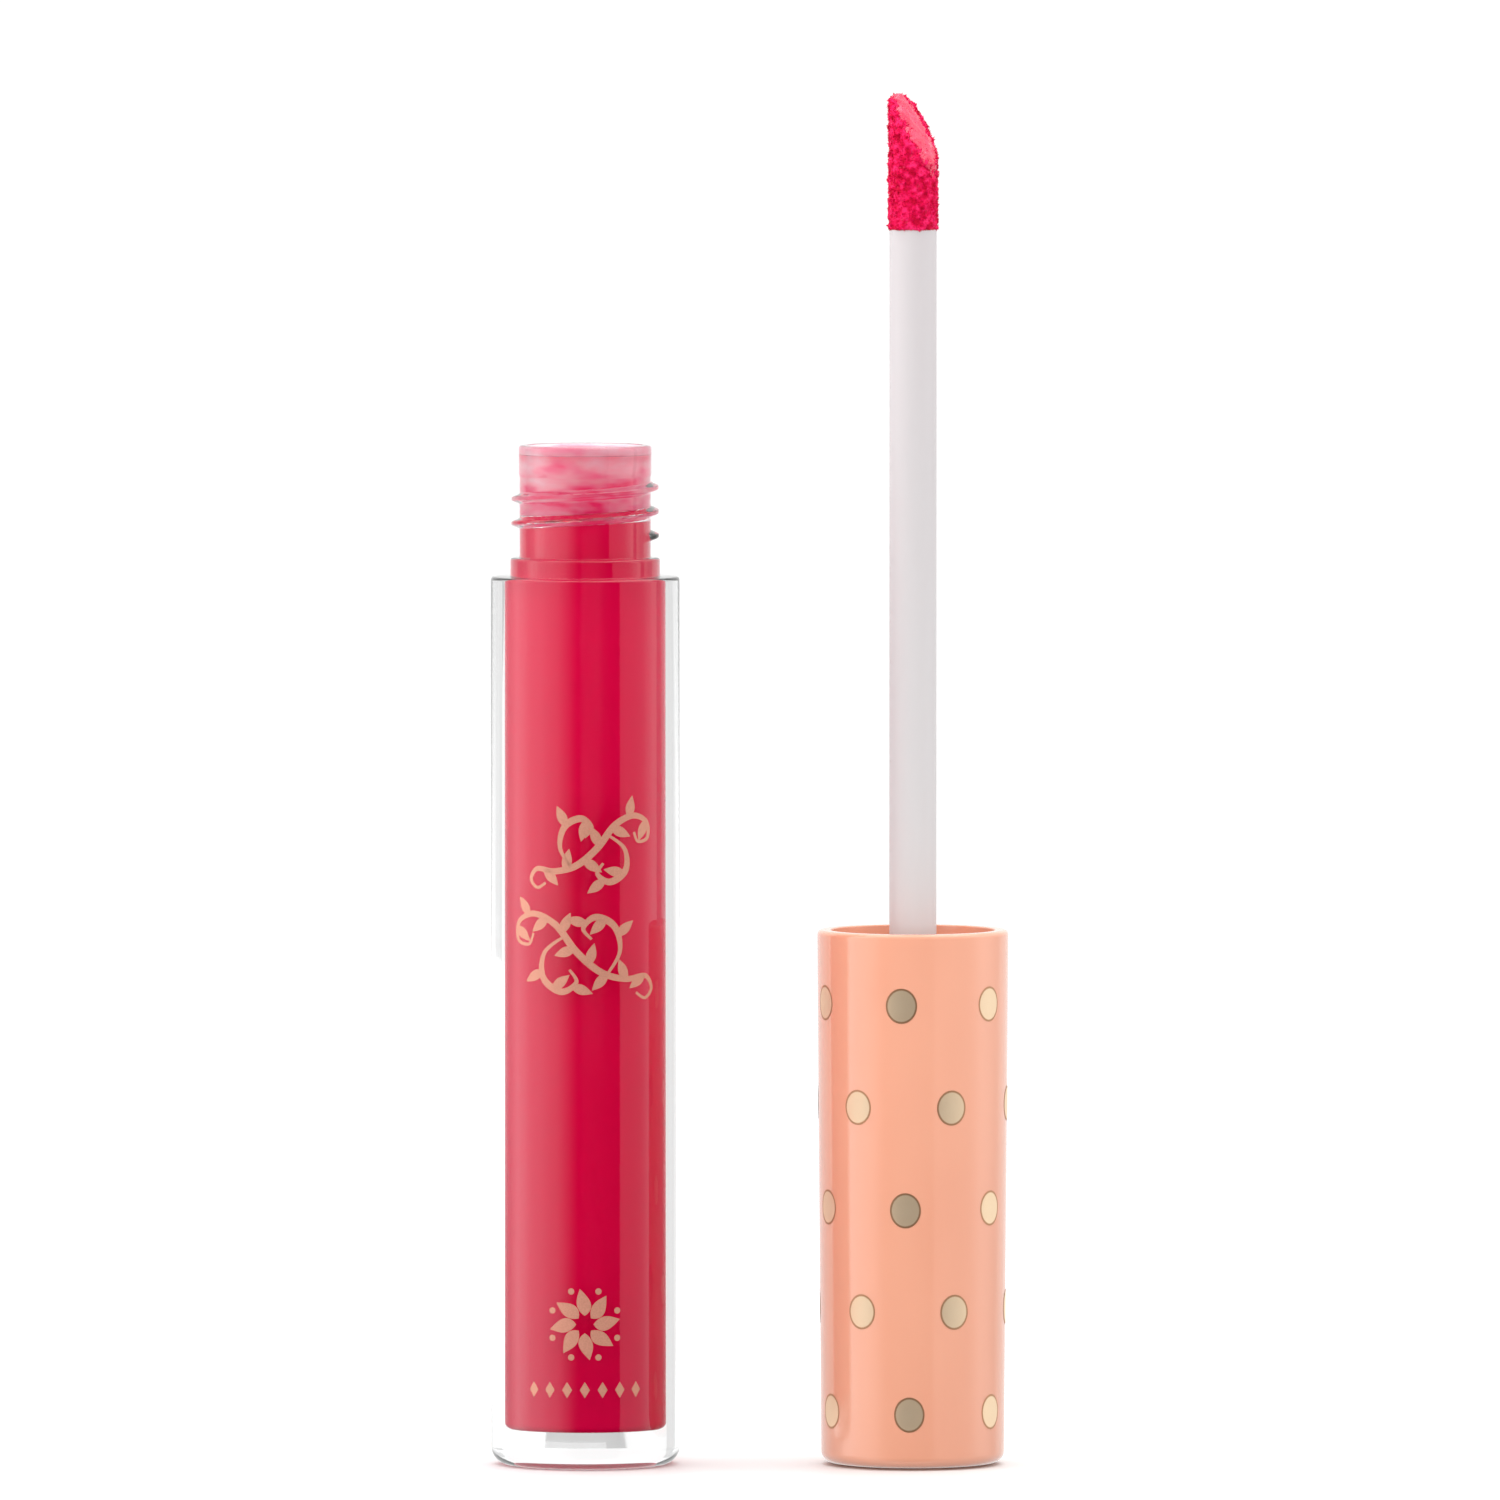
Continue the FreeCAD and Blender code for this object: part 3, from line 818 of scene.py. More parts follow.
# %% Pen strokes of one vine
VINE_STROKES = [
    [(-3.9, -2.4), (-4.7, -2.8), (-5.3, -2.1), (-4.7, -1.2), (-3.1, -1.4), (-1.2, -0.9),
     (0.6, 0.6), (2.1, 2.5), (3.8, 3.3), (5.2, 2.7), (5.3, 1.4), (4.3, 1.1), (3.9, 1.9)],
    [(-1.6, -1.1), (-2.6, 0.6), (-2.2, 2.4), (-0.8, 3.1), (0.1, 2.3), (-0.5, 1.5)],
    [(1.5, 1.7), (3.0, 0.5), (3.1, -1.3), (1.7, -2.3), (0.6, -1.6), (1.1, -0.7)],
]
STROKE_STEPS = 9


def through(points):
    """A smooth line through points, by the Catmull-Rom rule."""
    ends = [points[0], *points, points[-1]]
    line = []
    for a, b, c, d in zip(ends, ends[1:], ends[2:], ends[3:]):
        a, b, c, d = Vector(a), Vector(b), Vector(c), Vector(d)
        for step in range(STROKE_STEPS):
            t = step / STROKE_STEPS
            bend = 2 * b + (c - a) * t + (2 * a - 5 * b + 4 * c - d) * t ** 2
            line.append((bend + (3 * b - a - 3 * c + d) * t ** 3) / 2)
    return line + [Vector(points[-1])]


def vines_mesh(placings, thinnest, thickest):
    """Edge chains in the XZ plane for every stroke of every vine, with a half_width."""
    points, edges, widths = [], [], []
    for middle_x, middle_z, size, flip in placings:
        for stroke in VINE_STROKES:
            line = through(stroke)
            for index, point in enumerate(line):
                share = index / (len(line) - 1)
                if index:
                    edges.append((len(points) - 1, len(points)))
                x = middle_x + point.x * size * flip * MM
                points.append((x, 0, middle_z + point.y * size * MM))
                swell = math.sin(math.pi * share) ** 2
                widths.append(thinnest + (thickest - thinnest) * swell)
    mesh = bpy.data.meshes.new("vine_strokes")
    mesh.from_pydata(points, edges, [])
    mesh.attributes.new("half_width", "FLOAT", "POINT").data.foreach_set("value", widths)
    return mesh


# %% Node tree: rosette over a row of lozenges
LOZENGE_SLIMNESS = 0.62


def transformed(tree, geometry, setting, value):
    """Turn or stretch a geometry; setting is Rotation or Scale."""
    made = tree.nodes.new("GeometryNodeTransform")
    made.inputs[setting].default_value = value
    tree.links.new(geometry, made.inputs["Geometry"])
    return made.outputs[0]


def rosette_tree(material):
    """Petals and beads round a heart, over a row of lozenges, rolled round the bottle."""
    tree, given, result = new_tree(
        "rosette_and_lozenges", Petals=8, Petal_Length=0.0024, Petal_Width=0.0011,
        Heart=0.0007, Rosette_Z=0.012, Beads=0.0033, Bead_Size=0.0005, Lozenges=7,
        Lozenge_Gap=0.0016, Lozenge_Size=0.0011, Lozenge_Z=0.0065, Tube_Radius=0.0082,
    )
    index = tree.nodes.new("GeometryNodeInputIndex").outputs[0]
    step = calc(tree, "DIVIDE", math.tau, given["Petals"])
    angle = product(tree, index, step)

    def ring_of(thing, radius, offset):
        """One thing per petal, turned outwards; offset is in petal steps."""
        turned = sum_of(tree, angle, product(tree, step, offset))
        x = product(tree, calc(tree, "COSINE", turned), radius)
        z = product(tree, calc(tree, "SINE", turned), radius)
        place = flat_place(tree, x, sum_of(tree, z, given["Rosette Z"]))
        points = node(tree, "GeometryNodePoints", ("Count", given["Petals"]),
                      ("Position", place)).outputs[0]
        return node(tree, "GeometryNodeInstanceOnPoints", ("Points", points),
                    ("Instance", thing), ("Rotation", about_y(tree, turned))).outputs[0]

    petal = leaf(tree, given["Petal Length"], given["Petal Width"])
    petals = ring_of(petal, given["Heart"], 0.0)
    bead = oval(tree, given["Bead Size"], given["Bead Size"])
    beads = ring_of(bead, given["Beads"], 0.5)
    middle = product(tree, calc(tree, "SUBTRACT", given["Lozenges"], 1.0), 0.5)
    along = product(tree, calc(tree, "SUBTRACT", index, middle), given["Lozenge Gap"])
    row = node(tree, "GeometryNodePoints", ("Count", given["Lozenges"]),
               ("Position", flat_place(tree, along, given["Lozenge Z"]))).outputs[0]
    square = node(tree, "GeometryNodeMeshGrid", ("Size X", given["Lozenge Size"]),
                  ("Size Y", given["Lozenge Size"]), ("Vertices X", 5),
                  ("Vertices Y", 5)).outputs[0]
    upright = transformed(tree, square, "Rotation", (math.pi / 2, 0, 0))
    on_point = transformed(tree, upright, "Rotation", (0, math.pi / 4, 0))
    slim = transformed(tree, on_point, "Scale", (LOZENGE_SLIMNESS, 1, 1))
    lozenges = node(tree, "GeometryNodeInstanceOnPoints", ("Points", row),
                    ("Instance", slim)).outputs[0]
    rolled = roll_straight(tree, join(tree, petals, beads, lozenges), given["Tube Radius"])
    finish_tree(tree, rolled, material, result)
    return tree


# %% Peach-gold ink
print_ink, tree, shader = new_material(
    "peach_gold_ink", Metallic=0.3, Specular_IOR_Level=0.4,
)
speck = add_noise(tree, 0.12 * MM, detail=2.0)
add_ramp(tree, shader, speck, [
    (0.35, (0.63, 0.275, 0.19)),
    (0.65, (0.71, 0.320, 0.23)),
])
add_roughness(tree, shader, speck, 0.42, 0.58)
add_bump(tree, shader, speck, 0.004 * MM, strength=0.3)

# %% Vines, rosette and lozenges
PRINT_R = BODY_R + FOIL_LIFT
UPPER_VINE_Z = 53.43 * MM
LOWER_VINE_Z = 44.33 * MM
ROSETTE_Z = 12.73 * MM
LOZENGE_Z = 7.03 * MM
vines = grown(
    "printed_vines", vine_tree(print_ink),
    vines_mesh([
        (0.5 * MM, UPPER_VINE_Z, 1.02, 1),
        (0.0, LOWER_VINE_Z, 1.2, -1),
    ], thinnest=0.12 * MM, thickest=0.31 * MM),
    Leaf_Gap=1.7 * MM, Leaf_Length=1.9 * MM, Leaf_Width=0.9 * MM, Lean=0.95,
    Thick_Enough=0.2 * MM, Tube_Radius=PRINT_R,
)
dress(vines, print_ink, "bottle", "cap_plastic")

rosette = grown(
    "printed_rosette", rosette_tree(print_ink), bpy.data.meshes.new("rosette_seed"),
    Petals=8, Petal_Length=2.35 * MM, Petal_Width=1.25 * MM, Heart=0.75 * MM,
    Rosette_Z=ROSETTE_Z, Beads=3.1 * MM, Bead_Size=0.55 * MM, Lozenges=7,
    Lozenge_Gap=1.55 * MM, Lozenge_Size=1.0 * MM, Lozenge_Z=LOZENGE_Z,
    Tube_Radius=PRINT_R,
)
dress(rosette, print_ink, "bottle", "cap_plastic")

# %% [markdown]
# ## Inside the cap
#
# The mouth of the cap shows the inner cap with its thread, the white gasket that seals
# on the bottle's rim, and the foot of the stem. The thread is pushed inwards from the
# wall in the same way as the neck's is pushed out.

# %% Inner cap
INNER_WALL_R = NECK_R + THREAD_DEPTH + 0.12 * MM
CEILING_Z = GASKET_FOOT_Z
SOCKET_R = 4.2 * MM
SOCKET_DEPTH = 11.0 * MM
TAIL_R = 2.9 * MM
STEM_SEAT_Z = CEILING_Z - 0.9 * MM
PRESS_GAP = 0.01 * MM
SHELL_GAP = 0.005 * MM
INNER_R = SHELL_BORE_R - SHELL_GAP
CLOSING_GAP = 0.3 * MM
CLOSED_HEIGHT = CAP_Z + BODY_TOP_Z + CLOSING_GAP
INNER_THREAD_ZERO_Z = CLOSED_HEIGHT - THREAD_ZERO_Z - THREAD_PITCH
INNER_FIRST_TURN = -380 / 360
INNER_LAST_TURN = 160 / 360
INNER_THREAD_SHARE = 0.93
INNER_ROW = 1.5 * THREAD_ROW
SMOOTH_END = 0.3 * MM
MOUTH_BEVEL = 0.12 * MM


def with_cap_thread(angle, radius, height):
    """The inner cap's bore with the thread taken off it."""
    if abs(radius - INNER_WALL_R) > SAME_RADIUS:
        return radius
    stand = thread_height(angle, height, INNER_THREAD_ZERO_Z, INNER_FIRST_TURN, INNER_LAST_TURN)
    return radius - INNER_THREAD_SHARE * stand


def inner_wall_rows():
    """Closely spaced rings down the threaded bore of the inner cap."""
    foot, top = CEILING_Z + SMOOTH_END, INNER_MOUTH_Z - SMOOTH_END
    count = round((top - foot) / INNER_ROW)
    return [(INNER_WALL_R, top + (foot - top) * index / count) for index in range(count + 1)]


inner_outline = [(INNER_R, INNER_MOUTH_Z), (INNER_WALL_R + MOUTH_BEVEL, INNER_MOUTH_Z)]
inner_outline += inner_wall_rows()
inner_outline += filleted([
    (INNER_WALL_R, CEILING_Z, 0),
    (STEM_FLANGE_R + PRESS_GAP, CEILING_Z, 0),
    (STEM_FLANGE_R + PRESS_GAP, STEM_SEAT_Z - PRESS_GAP, 0),
    (TAIL_R + PRESS_GAP, STEM_SEAT_Z - PRESS_GAP, 0),
    (TAIL_R + PRESS_GAP, CEILING_Z - SOCKET_DEPTH, 0),
    (SOCKET_R, CEILING_Z - SOCKET_DEPTH, 0.1 * MM),
    (SOCKET_R, CAP_SEAT_Z, 0.1 * MM),
    (INNER_R, CAP_SEAT_Z, 0),
])
inner = lathe(
    "threaded_inner_cap", inner_outline, axis_x=CAP_X, around=160, shape=with_cap_thread,
)

# %% Satin polypropylene, gasket foam
inner_plastic, tree, shader = new_material(
    "satin_polypropylene", Specular_IOR_Level=0.4, Subsurface_Weight=0.1,
    Subsurface_Scale=0.8 * MM,
)
satin = add_noise(tree, 0.3 * MM, detail=3.0)
add_ramp(tree, shader, satin, [(0.3, (0.76, 0.31, 0.18)), (0.7, (0.82, 0.35, 0.21))])
add_roughness(tree, shader, satin, 0.3, 0.45)
add_bump(tree, shader, satin, 0.01 * MM, strength=0.3)
dress(inner, inner_plastic, "cap", "inner_cap_plastic", "inner_cap")

GASKET_BORE_R = 2.15 * MM
gasket = lathe(
    "sealing_gasket",
    filleted([
        (GASKET_BORE_R, GASKET_FOOT_Z, 0.1 * MM),
        (GASKET_R, GASKET_FOOT_Z, 0.1 * MM),
        (GASKET_R, GASKET_TOP_Z, 0.15 * MM),
        (GASKET_BORE_R, GASKET_TOP_Z, 0.15 * MM),
    ]),
    axis_x=CAP_X,
    around=128,
)
gasket_foam, tree, shader = new_material("closed_cell_foam", Subsurface_Weight=0.2,
                                         Subsurface_Scale=0.4 * MM)
cells = add_noise(tree, 0.14 * MM, detail=4.0)
add_ramp(tree, shader, cells, [(0.3, (0.82, 0.81, 0.78)), (0.7, (0.93, 0.92, 0.90))])
add_roughness(tree, shader, cells, 0.55, 0.75)
add_bump(tree, shader, cells, 0.03 * MM, strength=0.5)
dress(gasket, gasket_foam, "screw_stage", "gasket_foam", "cap_gasket")

# %% [markdown]
# ## The wand
#
# The stem is a plain rod of natural polypropylene, milky and slightly glossy. The wiper
# never strips it quite clean, which leaves fine streaks along it. Its colour is also
# painted from pale at the cap to a little pinker and darker near the applicator: painted
# shade that holds back the stronger light falling on the top of the stem.

# %% Stem
STEM_R = 2.05 * MM
PLUG_HOLE_R = 1.01 * MM
PLUG_HOLE_FOOT_Z = STEM_TOP_Z - 5.0 * MM
stem = lathe(
    "milky_wand_stem",
    filleted([
        (0, STEM_FOOT_Z, 0),
        (TAIL_R, STEM_FOOT_Z, 0.2 * MM),
        (TAIL_R, STEM_SEAT_Z, 0),
        (STEM_FLANGE_R, STEM_SEAT_Z, 0),
        (STEM_FLANGE_R, CEILING_Z, 0.1 * MM),
        (STEM_R, CEILING_Z, 0),
        (STEM_R, STEM_TOP_Z, 0.12 * MM),
        (PLUG_HOLE_R, STEM_TOP_Z, 0),
        (PLUG_HOLE_R, PLUG_HOLE_FOOT_Z, 0),
        (0, PLUG_HOLE_FOOT_Z, 0),
    ]),
    axis_x=CAP_X,
    around=96,
)
stem_plastic, tree, shader = new_material(
    "natural_polypropylene",
    Subsurface_Weight=0.25,
    Subsurface_Radius=(1.0, 0.9, 0.9),
    Subsurface_Scale=1.2 * MM,
    Specular_IOR_Level=0.15,
    IOR=1.49,
)
streak = add_noise(tree, 1.4 * MM, detail=3.0, stretch=(1, 1, 0.06))
STREAK_SHARE = 0.2
# Painted shade: the colour darkens up the stem towards the applicator, where more light falls;
# the streaks are the stain.
painted_shade_up_stem = node(
    tree, "ShaderNodeMapRange", ("Value", object_height(tree)),
    ("From Min", CAP_Z), ("From Max", STEM_TOP_Z), ("To Max", 1 - STREAK_SHARE),
).outputs["Result"]
streaks_and_painted_shade = sum_of(tree, painted_shade_up_stem, product(tree, streak, STREAK_SHARE))
add_ramp(tree, shader, streaks_and_painted_shade, [(0.1, (0.670, 0.648, 0.650)), (0.9, (0.600, 0.562, 0.572))])
add_roughness(tree, shader, streak, 0.32, 0.44)
add_bump(tree, shader, streak, 0.01 * MM, strength=0.3)
dress(stem, stem_plastic, "cap", "stem_plastic", "wand_stem")

# %% [markdown]
# ## The applicator
#
# A doe-foot applicator is a short cylinder cut at a slant, so that one face lies flat on
# the lip. It is flocked: thousands of short fibres stand on it and hold the gloss. The
# body starts as a domed cylinder, is cut by the slanted plane and is remeshed fine and
# evenly, so that all its edges round off. Noise then gathers the surface into the small
# wet clumps that soaked flock makes.

# %% Doe-foot body
SLANT = math.radians(31.2)
FACE_AZIMUTH = math.radians(-35)
SLANT_START = 5.75 * MM
FOOT_FINE = 0.09 * MM
FOOT_Z = STEM_TOP_Z + 0.02 * MM
TOP_SHARE_OF_GROWTH = 0.1
FACE_NORMAL = Vector((
    math.cos(SLANT) * math.cos(FACE_AZIMUTH),
    math.cos(SLANT) * math.sin(FACE_AZIMUTH),
    math.sin(SLANT),
))
FACE_SIDE = Vector((math.cos(FACE_AZIMUTH), math.sin(FACE_AZIMUTH), 0))
FACE_EDGE = Vector((CAP_X, 0, STEM_TOP_Z + SLANT_START)) + FACE_SIDE * TIP_R


def applied(piece):
    """Bake a piece's modifiers into its mesh."""
    graph = bpy.context.evaluated_depsgraph_get()
    mesh = bpy.data.meshes.new_from_object(piece.evaluated_get(graph))
    piece.modifiers.clear()
    piece.data = mesh
    return piece


def doe_foot(name, grow, clump, clump_size, seed):
    """The slanted tip, grown outwards by grow, with clumps of the given height."""
    radius = TIP_R + grow
    top = TIP_Z + TOP_SHARE_OF_GROWTH * grow
    blank = lathe(
        name,
        filleted([
            (0, FOOT_Z, 0),
            (radius, FOOT_Z, 0.12 * MM),
            (radius, top, 1.0 * MM),
            (0, top, 0),
        ]),
        axis_x=CAP_X,
        around=64,
    )
    bm = bmesh.new()
    bm.from_mesh(blank.data)
    cut = bmesh.ops.bisect_plane(
        bm, geom=bm.verts[:] + bm.edges[:] + bm.faces[:],
        plane_co=FACE_EDGE + FACE_NORMAL * grow, plane_no=FACE_NORMAL, clear_outer=True,
    )
    rim = [item for item in cut["geom_cut"] if isinstance(item, bmesh.types.BMEdge)]
    bmesh.ops.edgeloop_fill(bm, edges=rim)
    bmesh.ops.triangulate(bm, faces=bm.faces)
    bm.to_mesh(blank.data)
    bm.free()
    remesh = blank.modifiers.new("even", "REMESH")
    remesh.mode = "VOXEL"
    remesh.voxel_size = FOOT_FINE
    soften = blank.modifiers.new("soften", "SMOOTH")
    soften.iterations = 8
    soften.factor = 0.6
    applied(blank)
    noise.seed_set(seed)
    vertices = blank.data.vertices
    normals = [vertex.normal.copy() for vertex in vertices]
    for vertex, normal in zip(vertices, normals):
        coarse = noise.noise(vertex.co / clump_size)
        fine = noise.noise(vertex.co * 2.3 / clump_size)
        vertex.co += normal * clump * (coarse + 0.5 * fine)
    blank.data.polygons.foreach_set("use_smooth", [True] * len(blank.data.polygons))
    return blank


foot = doe_foot("flocked_applicator", grow=-0.20 * MM, clump=0.17 * MM,
                clump_size=0.52 * MM, seed=7)

# %% Soaked flock
flock, tree, shader = new_material(
    "soaked_flock",
    Subsurface_Weight=0.12,
    Subsurface_Radius=(1.0, 0.1, 0.2),
    Subsurface_Scale=0.3 * MM,
    Specular_IOR_Level=0.10,
)
clumps = add_noise(tree, 0.62 * MM, detail=2.5, roughness=0.5)
add_ramp(tree, shader, clumps, [
    (0.38, (0.56, 0.0004, 0.034)),
    (0.50, (0.78, 0.002, 0.078)),
    (0.62, (0.94, 0.022, 0.155)),
])
add_roughness(tree, shader, clumps, 0.7, 0.5)
add_bump(tree, shader, clumps, 0.12 * MM, strength=0.6)
dress(foot, flock, "cap", "flock", "applicator_flock")

# %% [markdown]
# ## Flock fibres
#
# Fibres make the outline of the applicator slightly ragged. Geometry Nodes scatter
# points over the flocked body with a fixed seed, and set a short three-sided bristle
# on each, along the surface's normal with some random lean.

# %% Node tree: fibres on a surface
def fibre_tree(material):
    """Bristles scattered over a surface; the density is per square metre."""
    tree, given, result = new_tree(
        "flock_fibres", Density=20e6, Length=0.0003, Thickness=0.00003, Lean=0.5, Seed=3,
    )
    spread = node(tree, "GeometryNodeDistributePointsOnFaces", ("Mesh", given["Geometry"]),
                  ("Density", given["Density"]), ("Seed", given["Seed"]))
    bristle = node(tree, "GeometryNodeMeshCone", ("Vertices", 3), ("Side Segments", 1),
                   ("Radius Top", product(tree, given["Thickness"], 0.45)),
                   ("Radius Bottom", given["Thickness"]), ("Depth", given["Length"]))
    lean = node(tree, "FunctionNodeRandomValue", ("Seed", given["Seed"]),
                data_type="FLOAT_VECTOR")
    lean.inputs[0].default_value = (-1, -1, -1)
    lean.inputs[1].default_value = (1, 1, 1)
    tilt = node(tree, "ShaderNodeVectorMath", (0, lean.outputs[0]), operation="SCALE")
    tree.links.new(given["Lean"], tilt.inputs["Scale"])
    way = node(tree, "ShaderNodeVectorMath", (0, spread.outputs["Normal"]),
               (1, tilt.outputs[0]), operation="ADD").outputs[0]
    aim = node(tree, "FunctionNodeAlignRotationToVector", ("Vector", way), axis="Z").outputs[0]
    size = node(tree, "FunctionNodeRandomValue", ("Seed", 11), data_type="FLOAT")
    size.inputs[2].default_value = 0.6
    size.inputs[3].default_value = 1.15
    laid = node(tree, "GeometryNodeInstanceOnPoints", ("Points", spread.outputs["Points"]),
                ("Instance", bristle.outputs["Mesh"]), ("Rotation", aim),
                ("Scale", size.outputs[1])).outputs[0]
    finish_tree(tree, laid, material, result)
    return tree


fibres = grown(
    "flock_fibres", fibre_tree(flock), foot.data.copy(),
    Density=34e6, Length=0.15 * MM, Thickness=0.055 * MM, Lean=0.8, Seed=3,
)
dress(fibres, flock, "cap", "flock")

# %% [markdown]
# ## Wet gloss on the slanted face
#
# The slanted face carries the most gloss: a smooth film that buries the flock and shines
# in one long pale streak. It is the same slanted body grown a little larger, kept only
# around the middle of the face, with its border thinned out so that it sinks into the
# flock instead of ending in a step.

# %% Wet smear
SMEAR_HALF_WIDTH = 1.25 * MM
SMEAR_HALF_LENGTH_SHARE = 0.58
SMEAR_MIDDLE_SHARE = 0.58
SMEAR_LIFT = 0.12 * MM
RAGGEDNESS = 0.22
RAGGED_SIZE = 0.55 * MM
LEAST_COVER = -0.25
LEAST_FACING = 0.35
BORDER_STEEPNESS = 3.0
DEEPEST_SINK = -2.5
smear_piece = doe_foot("wet_gloss_smear", grow=-0.14 * MM, clump=0.05 * MM,
                       clump_size=0.9 * MM, seed=5)
face_across = FACE_NORMAL.cross(Vector((0, 0, 1))).normalized()
face_up = face_across.cross(FACE_NORMAL).normalized()
face_length = (Vector((CAP_X, 0, TIP_Z)) - FACE_EDGE).dot(face_up)
face_middle = FACE_EDGE + face_up * (face_length * SMEAR_MIDDLE_SHARE)


def cover_at(point):
    """1 in the middle of the wet streak, 0 at its border, negative outside."""
    away = point - face_middle
    across = away.dot(face_across) / SMEAR_HALF_WIDTH
    along = away.dot(face_up) / (face_length * SMEAR_HALF_LENGTH_SHARE)
    ragged = RAGGEDNESS * noise.noise(point / RAGGED_SIZE)
    return 1 - math.sqrt(across * across + along * along) + ragged


bm = bmesh.new()
bm.from_mesh(smear_piece.data)
cover = {vertex: cover_at(vertex.co) for vertex in bm.verts}
outside = [
    vertex for vertex in bm.verts
    if cover[vertex] < LEAST_COVER or vertex.normal.dot(FACE_NORMAL) < LEAST_FACING
]
bmesh.ops.delete(bm, geom=outside, context="VERTS")
for vertex in bm.verts:
    rise = min(1.0, BORDER_STEEPNESS * cover[vertex])
    vertex.co += FACE_NORMAL * (SMEAR_LIFT * max(DEEPEST_SINK, rise))
bm.to_mesh(smear_piece.data)
bm.free()

# %% Wet gloss
wet_gloss, tree, shader = new_material(
    "wet_gloss",
    IOR=1.48,
    Coat_Weight=0.3,
    Coat_Roughness=0.12,
    Subsurface_Weight=0.2,
    Subsurface_Radius=(1.0, 0.1, 0.2),
    Subsurface_Scale=0.3 * MM,
)
film = add_noise(tree, 0.9 * MM, detail=2.0)
add_ramp(tree, shader, film, [(0.3, (0.72, 0.012, 0.072)), (0.7, (0.85, 0.045, 0.125))])
add_roughness(tree, shader, film, 0.16, 0.28)
add_bump(tree, shader, film, 0.02 * MM, strength=0.2)
dress(smear_piece, wet_gloss, "cap", "gloss", "gloss_film", "gloss_bead")

# %% Moulded core inside the flock
core_rubber, tree, shader = new_material("core_elastomer", Specular_IOR_Level=0.4)
matt = add_noise(tree, 0.25 * MM, detail=2.0)
add_ramp(tree, shader, matt, [(0.3, (0.60, 0.004, 0.045)), (0.7, (0.78, 0.012, 0.085))])
add_roughness(tree, shader, matt, 0.5, 0.65)
add_bump(tree, shader, matt, 0.01 * MM, strength=0.3)
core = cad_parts["applicator_core"]
core.data.materials.clear()
core.data.materials.append(core_rubber)

# %% [markdown]
# ## Studio
#
# The tube stands in an even white surround. A tent of glowing cards stands around it,
# open at the back and with a gap in front for the lens. A glossy cylinder shows that
# set-up as upright bands: card, dark gap, card. The cards fade towards the gap on the
# left and are brightest at the sides. They dim a little upwards and end in a brighter
# band, above the height that the standing tube can mirror to the lens. A black flag
# fills the gap for mirror images alone, and a soft light shines in from the front. The
# lens never sees cards, flag or lights: it sees only what they do to the tube. In the
# same way the lens sees a white floor, while light that is bent by the clear plastic
# comes from a dim one, which keeps its edges grey.

# %% Floors and surround
FLOOR_R = 0.5


def floor_disc(name, top_z, grey):
    """A round slab for the stage in plain matt paint."""
    foot_z = top_z - 1 * MM
    outline = [(0, foot_z), (FLOOR_R, foot_z), (FLOOR_R, top_z), (0, top_z)]
    slab = lathe(name, outline, axis_x=CAP_X / 2, around=96)
    paint, _, _ = new_material(
        name + "_paint", Base_Color=(grey, grey, grey, 1), Roughness=0.6,
    )
    slab.data.materials.append(paint)
    return slab


white_floor = floor_disc("white_floor", -0.03 * MM, 0.9)
white_floor.visible_glossy = False
white_floor.visible_transmission = False
white_floor.visible_diffuse = False
white_floor.visible_shadow = False
dim_floor = floor_disc("dim_floor", -0.06 * MM, 0.42)
dim_floor.visible_camera = False
dim_floor.visible_glossy = False

world = bpy.data.worlds.new("white_surround")
world.use_nodes = True
world.node_tree.nodes["Background"].inputs["Color"].default_value = (1, 1, 1, 1)
world.node_tree.nodes["Background"].inputs["Strength"].default_value = 1.08
bpy.context.scene.world = world

# %% Cards, bent round the tube
CARD_FOOT_Z = -60 * MM
CARD_TOP_Z = 300 * MM
BAND_Z = 135 * MM
CARD_Y = -66 * MM
GAP_LEFT_X = -9 * MM
GAP_RIGHT_X = 58 * MM
TENT_HALF = 300 * MM
TENT_BACK_Y = 240 * MM
FOOT_SHARE = 0.95
HIGH_SHARE = 0.85
HIGH_Z = 120 * MM
BAND_GLOW = 0.6
BAND_BLEND = 30 * MM


def glow(name, stops):
    """Emission along the card's metre mark; it dims a little upwards and ends in a band."""
    material = bpy.data.materials.new(name)
    material.use_nodes = True
    tree = material.node_tree
    tree.nodes.clear()
    mark = node(tree, "ShaderNodeAttribute", attribute_name="metre_mark").outputs["Fac"]
    longest = stops[-1][0]
    brightest = max(strength for _, strength in stops)
    along = colour_ramp(tree, calc(tree, "DIVIDE", mark, longest), [
        (metres / longest, (strength / brightest,) * 3) for metres, strength in stops
    ])
    height = object_height(tree)
    rise = node(tree, "ShaderNodeMapRange", ("Value", height), ("From Max", HIGH_Z),
                ("To Min", FOOT_SHARE * brightest),
                ("To Max", HIGH_SHARE * brightest)).outputs["Result"]
    extra = node(tree, "ShaderNodeMapRange", ("Value", height), ("From Min", BAND_Z),
                 ("From Max", BAND_Z + BAND_BLEND), ("To Max", BAND_GLOW)).outputs["Result"]
    total = sum_of(tree, product(tree, along, rise), extra)
    light = node(tree, "ShaderNodeEmission", ("Strength", total))
    out = node(tree, "ShaderNodeOutputMaterial")
    tree.links.new(light.outputs[0], out.inputs["Surface"])
    return material


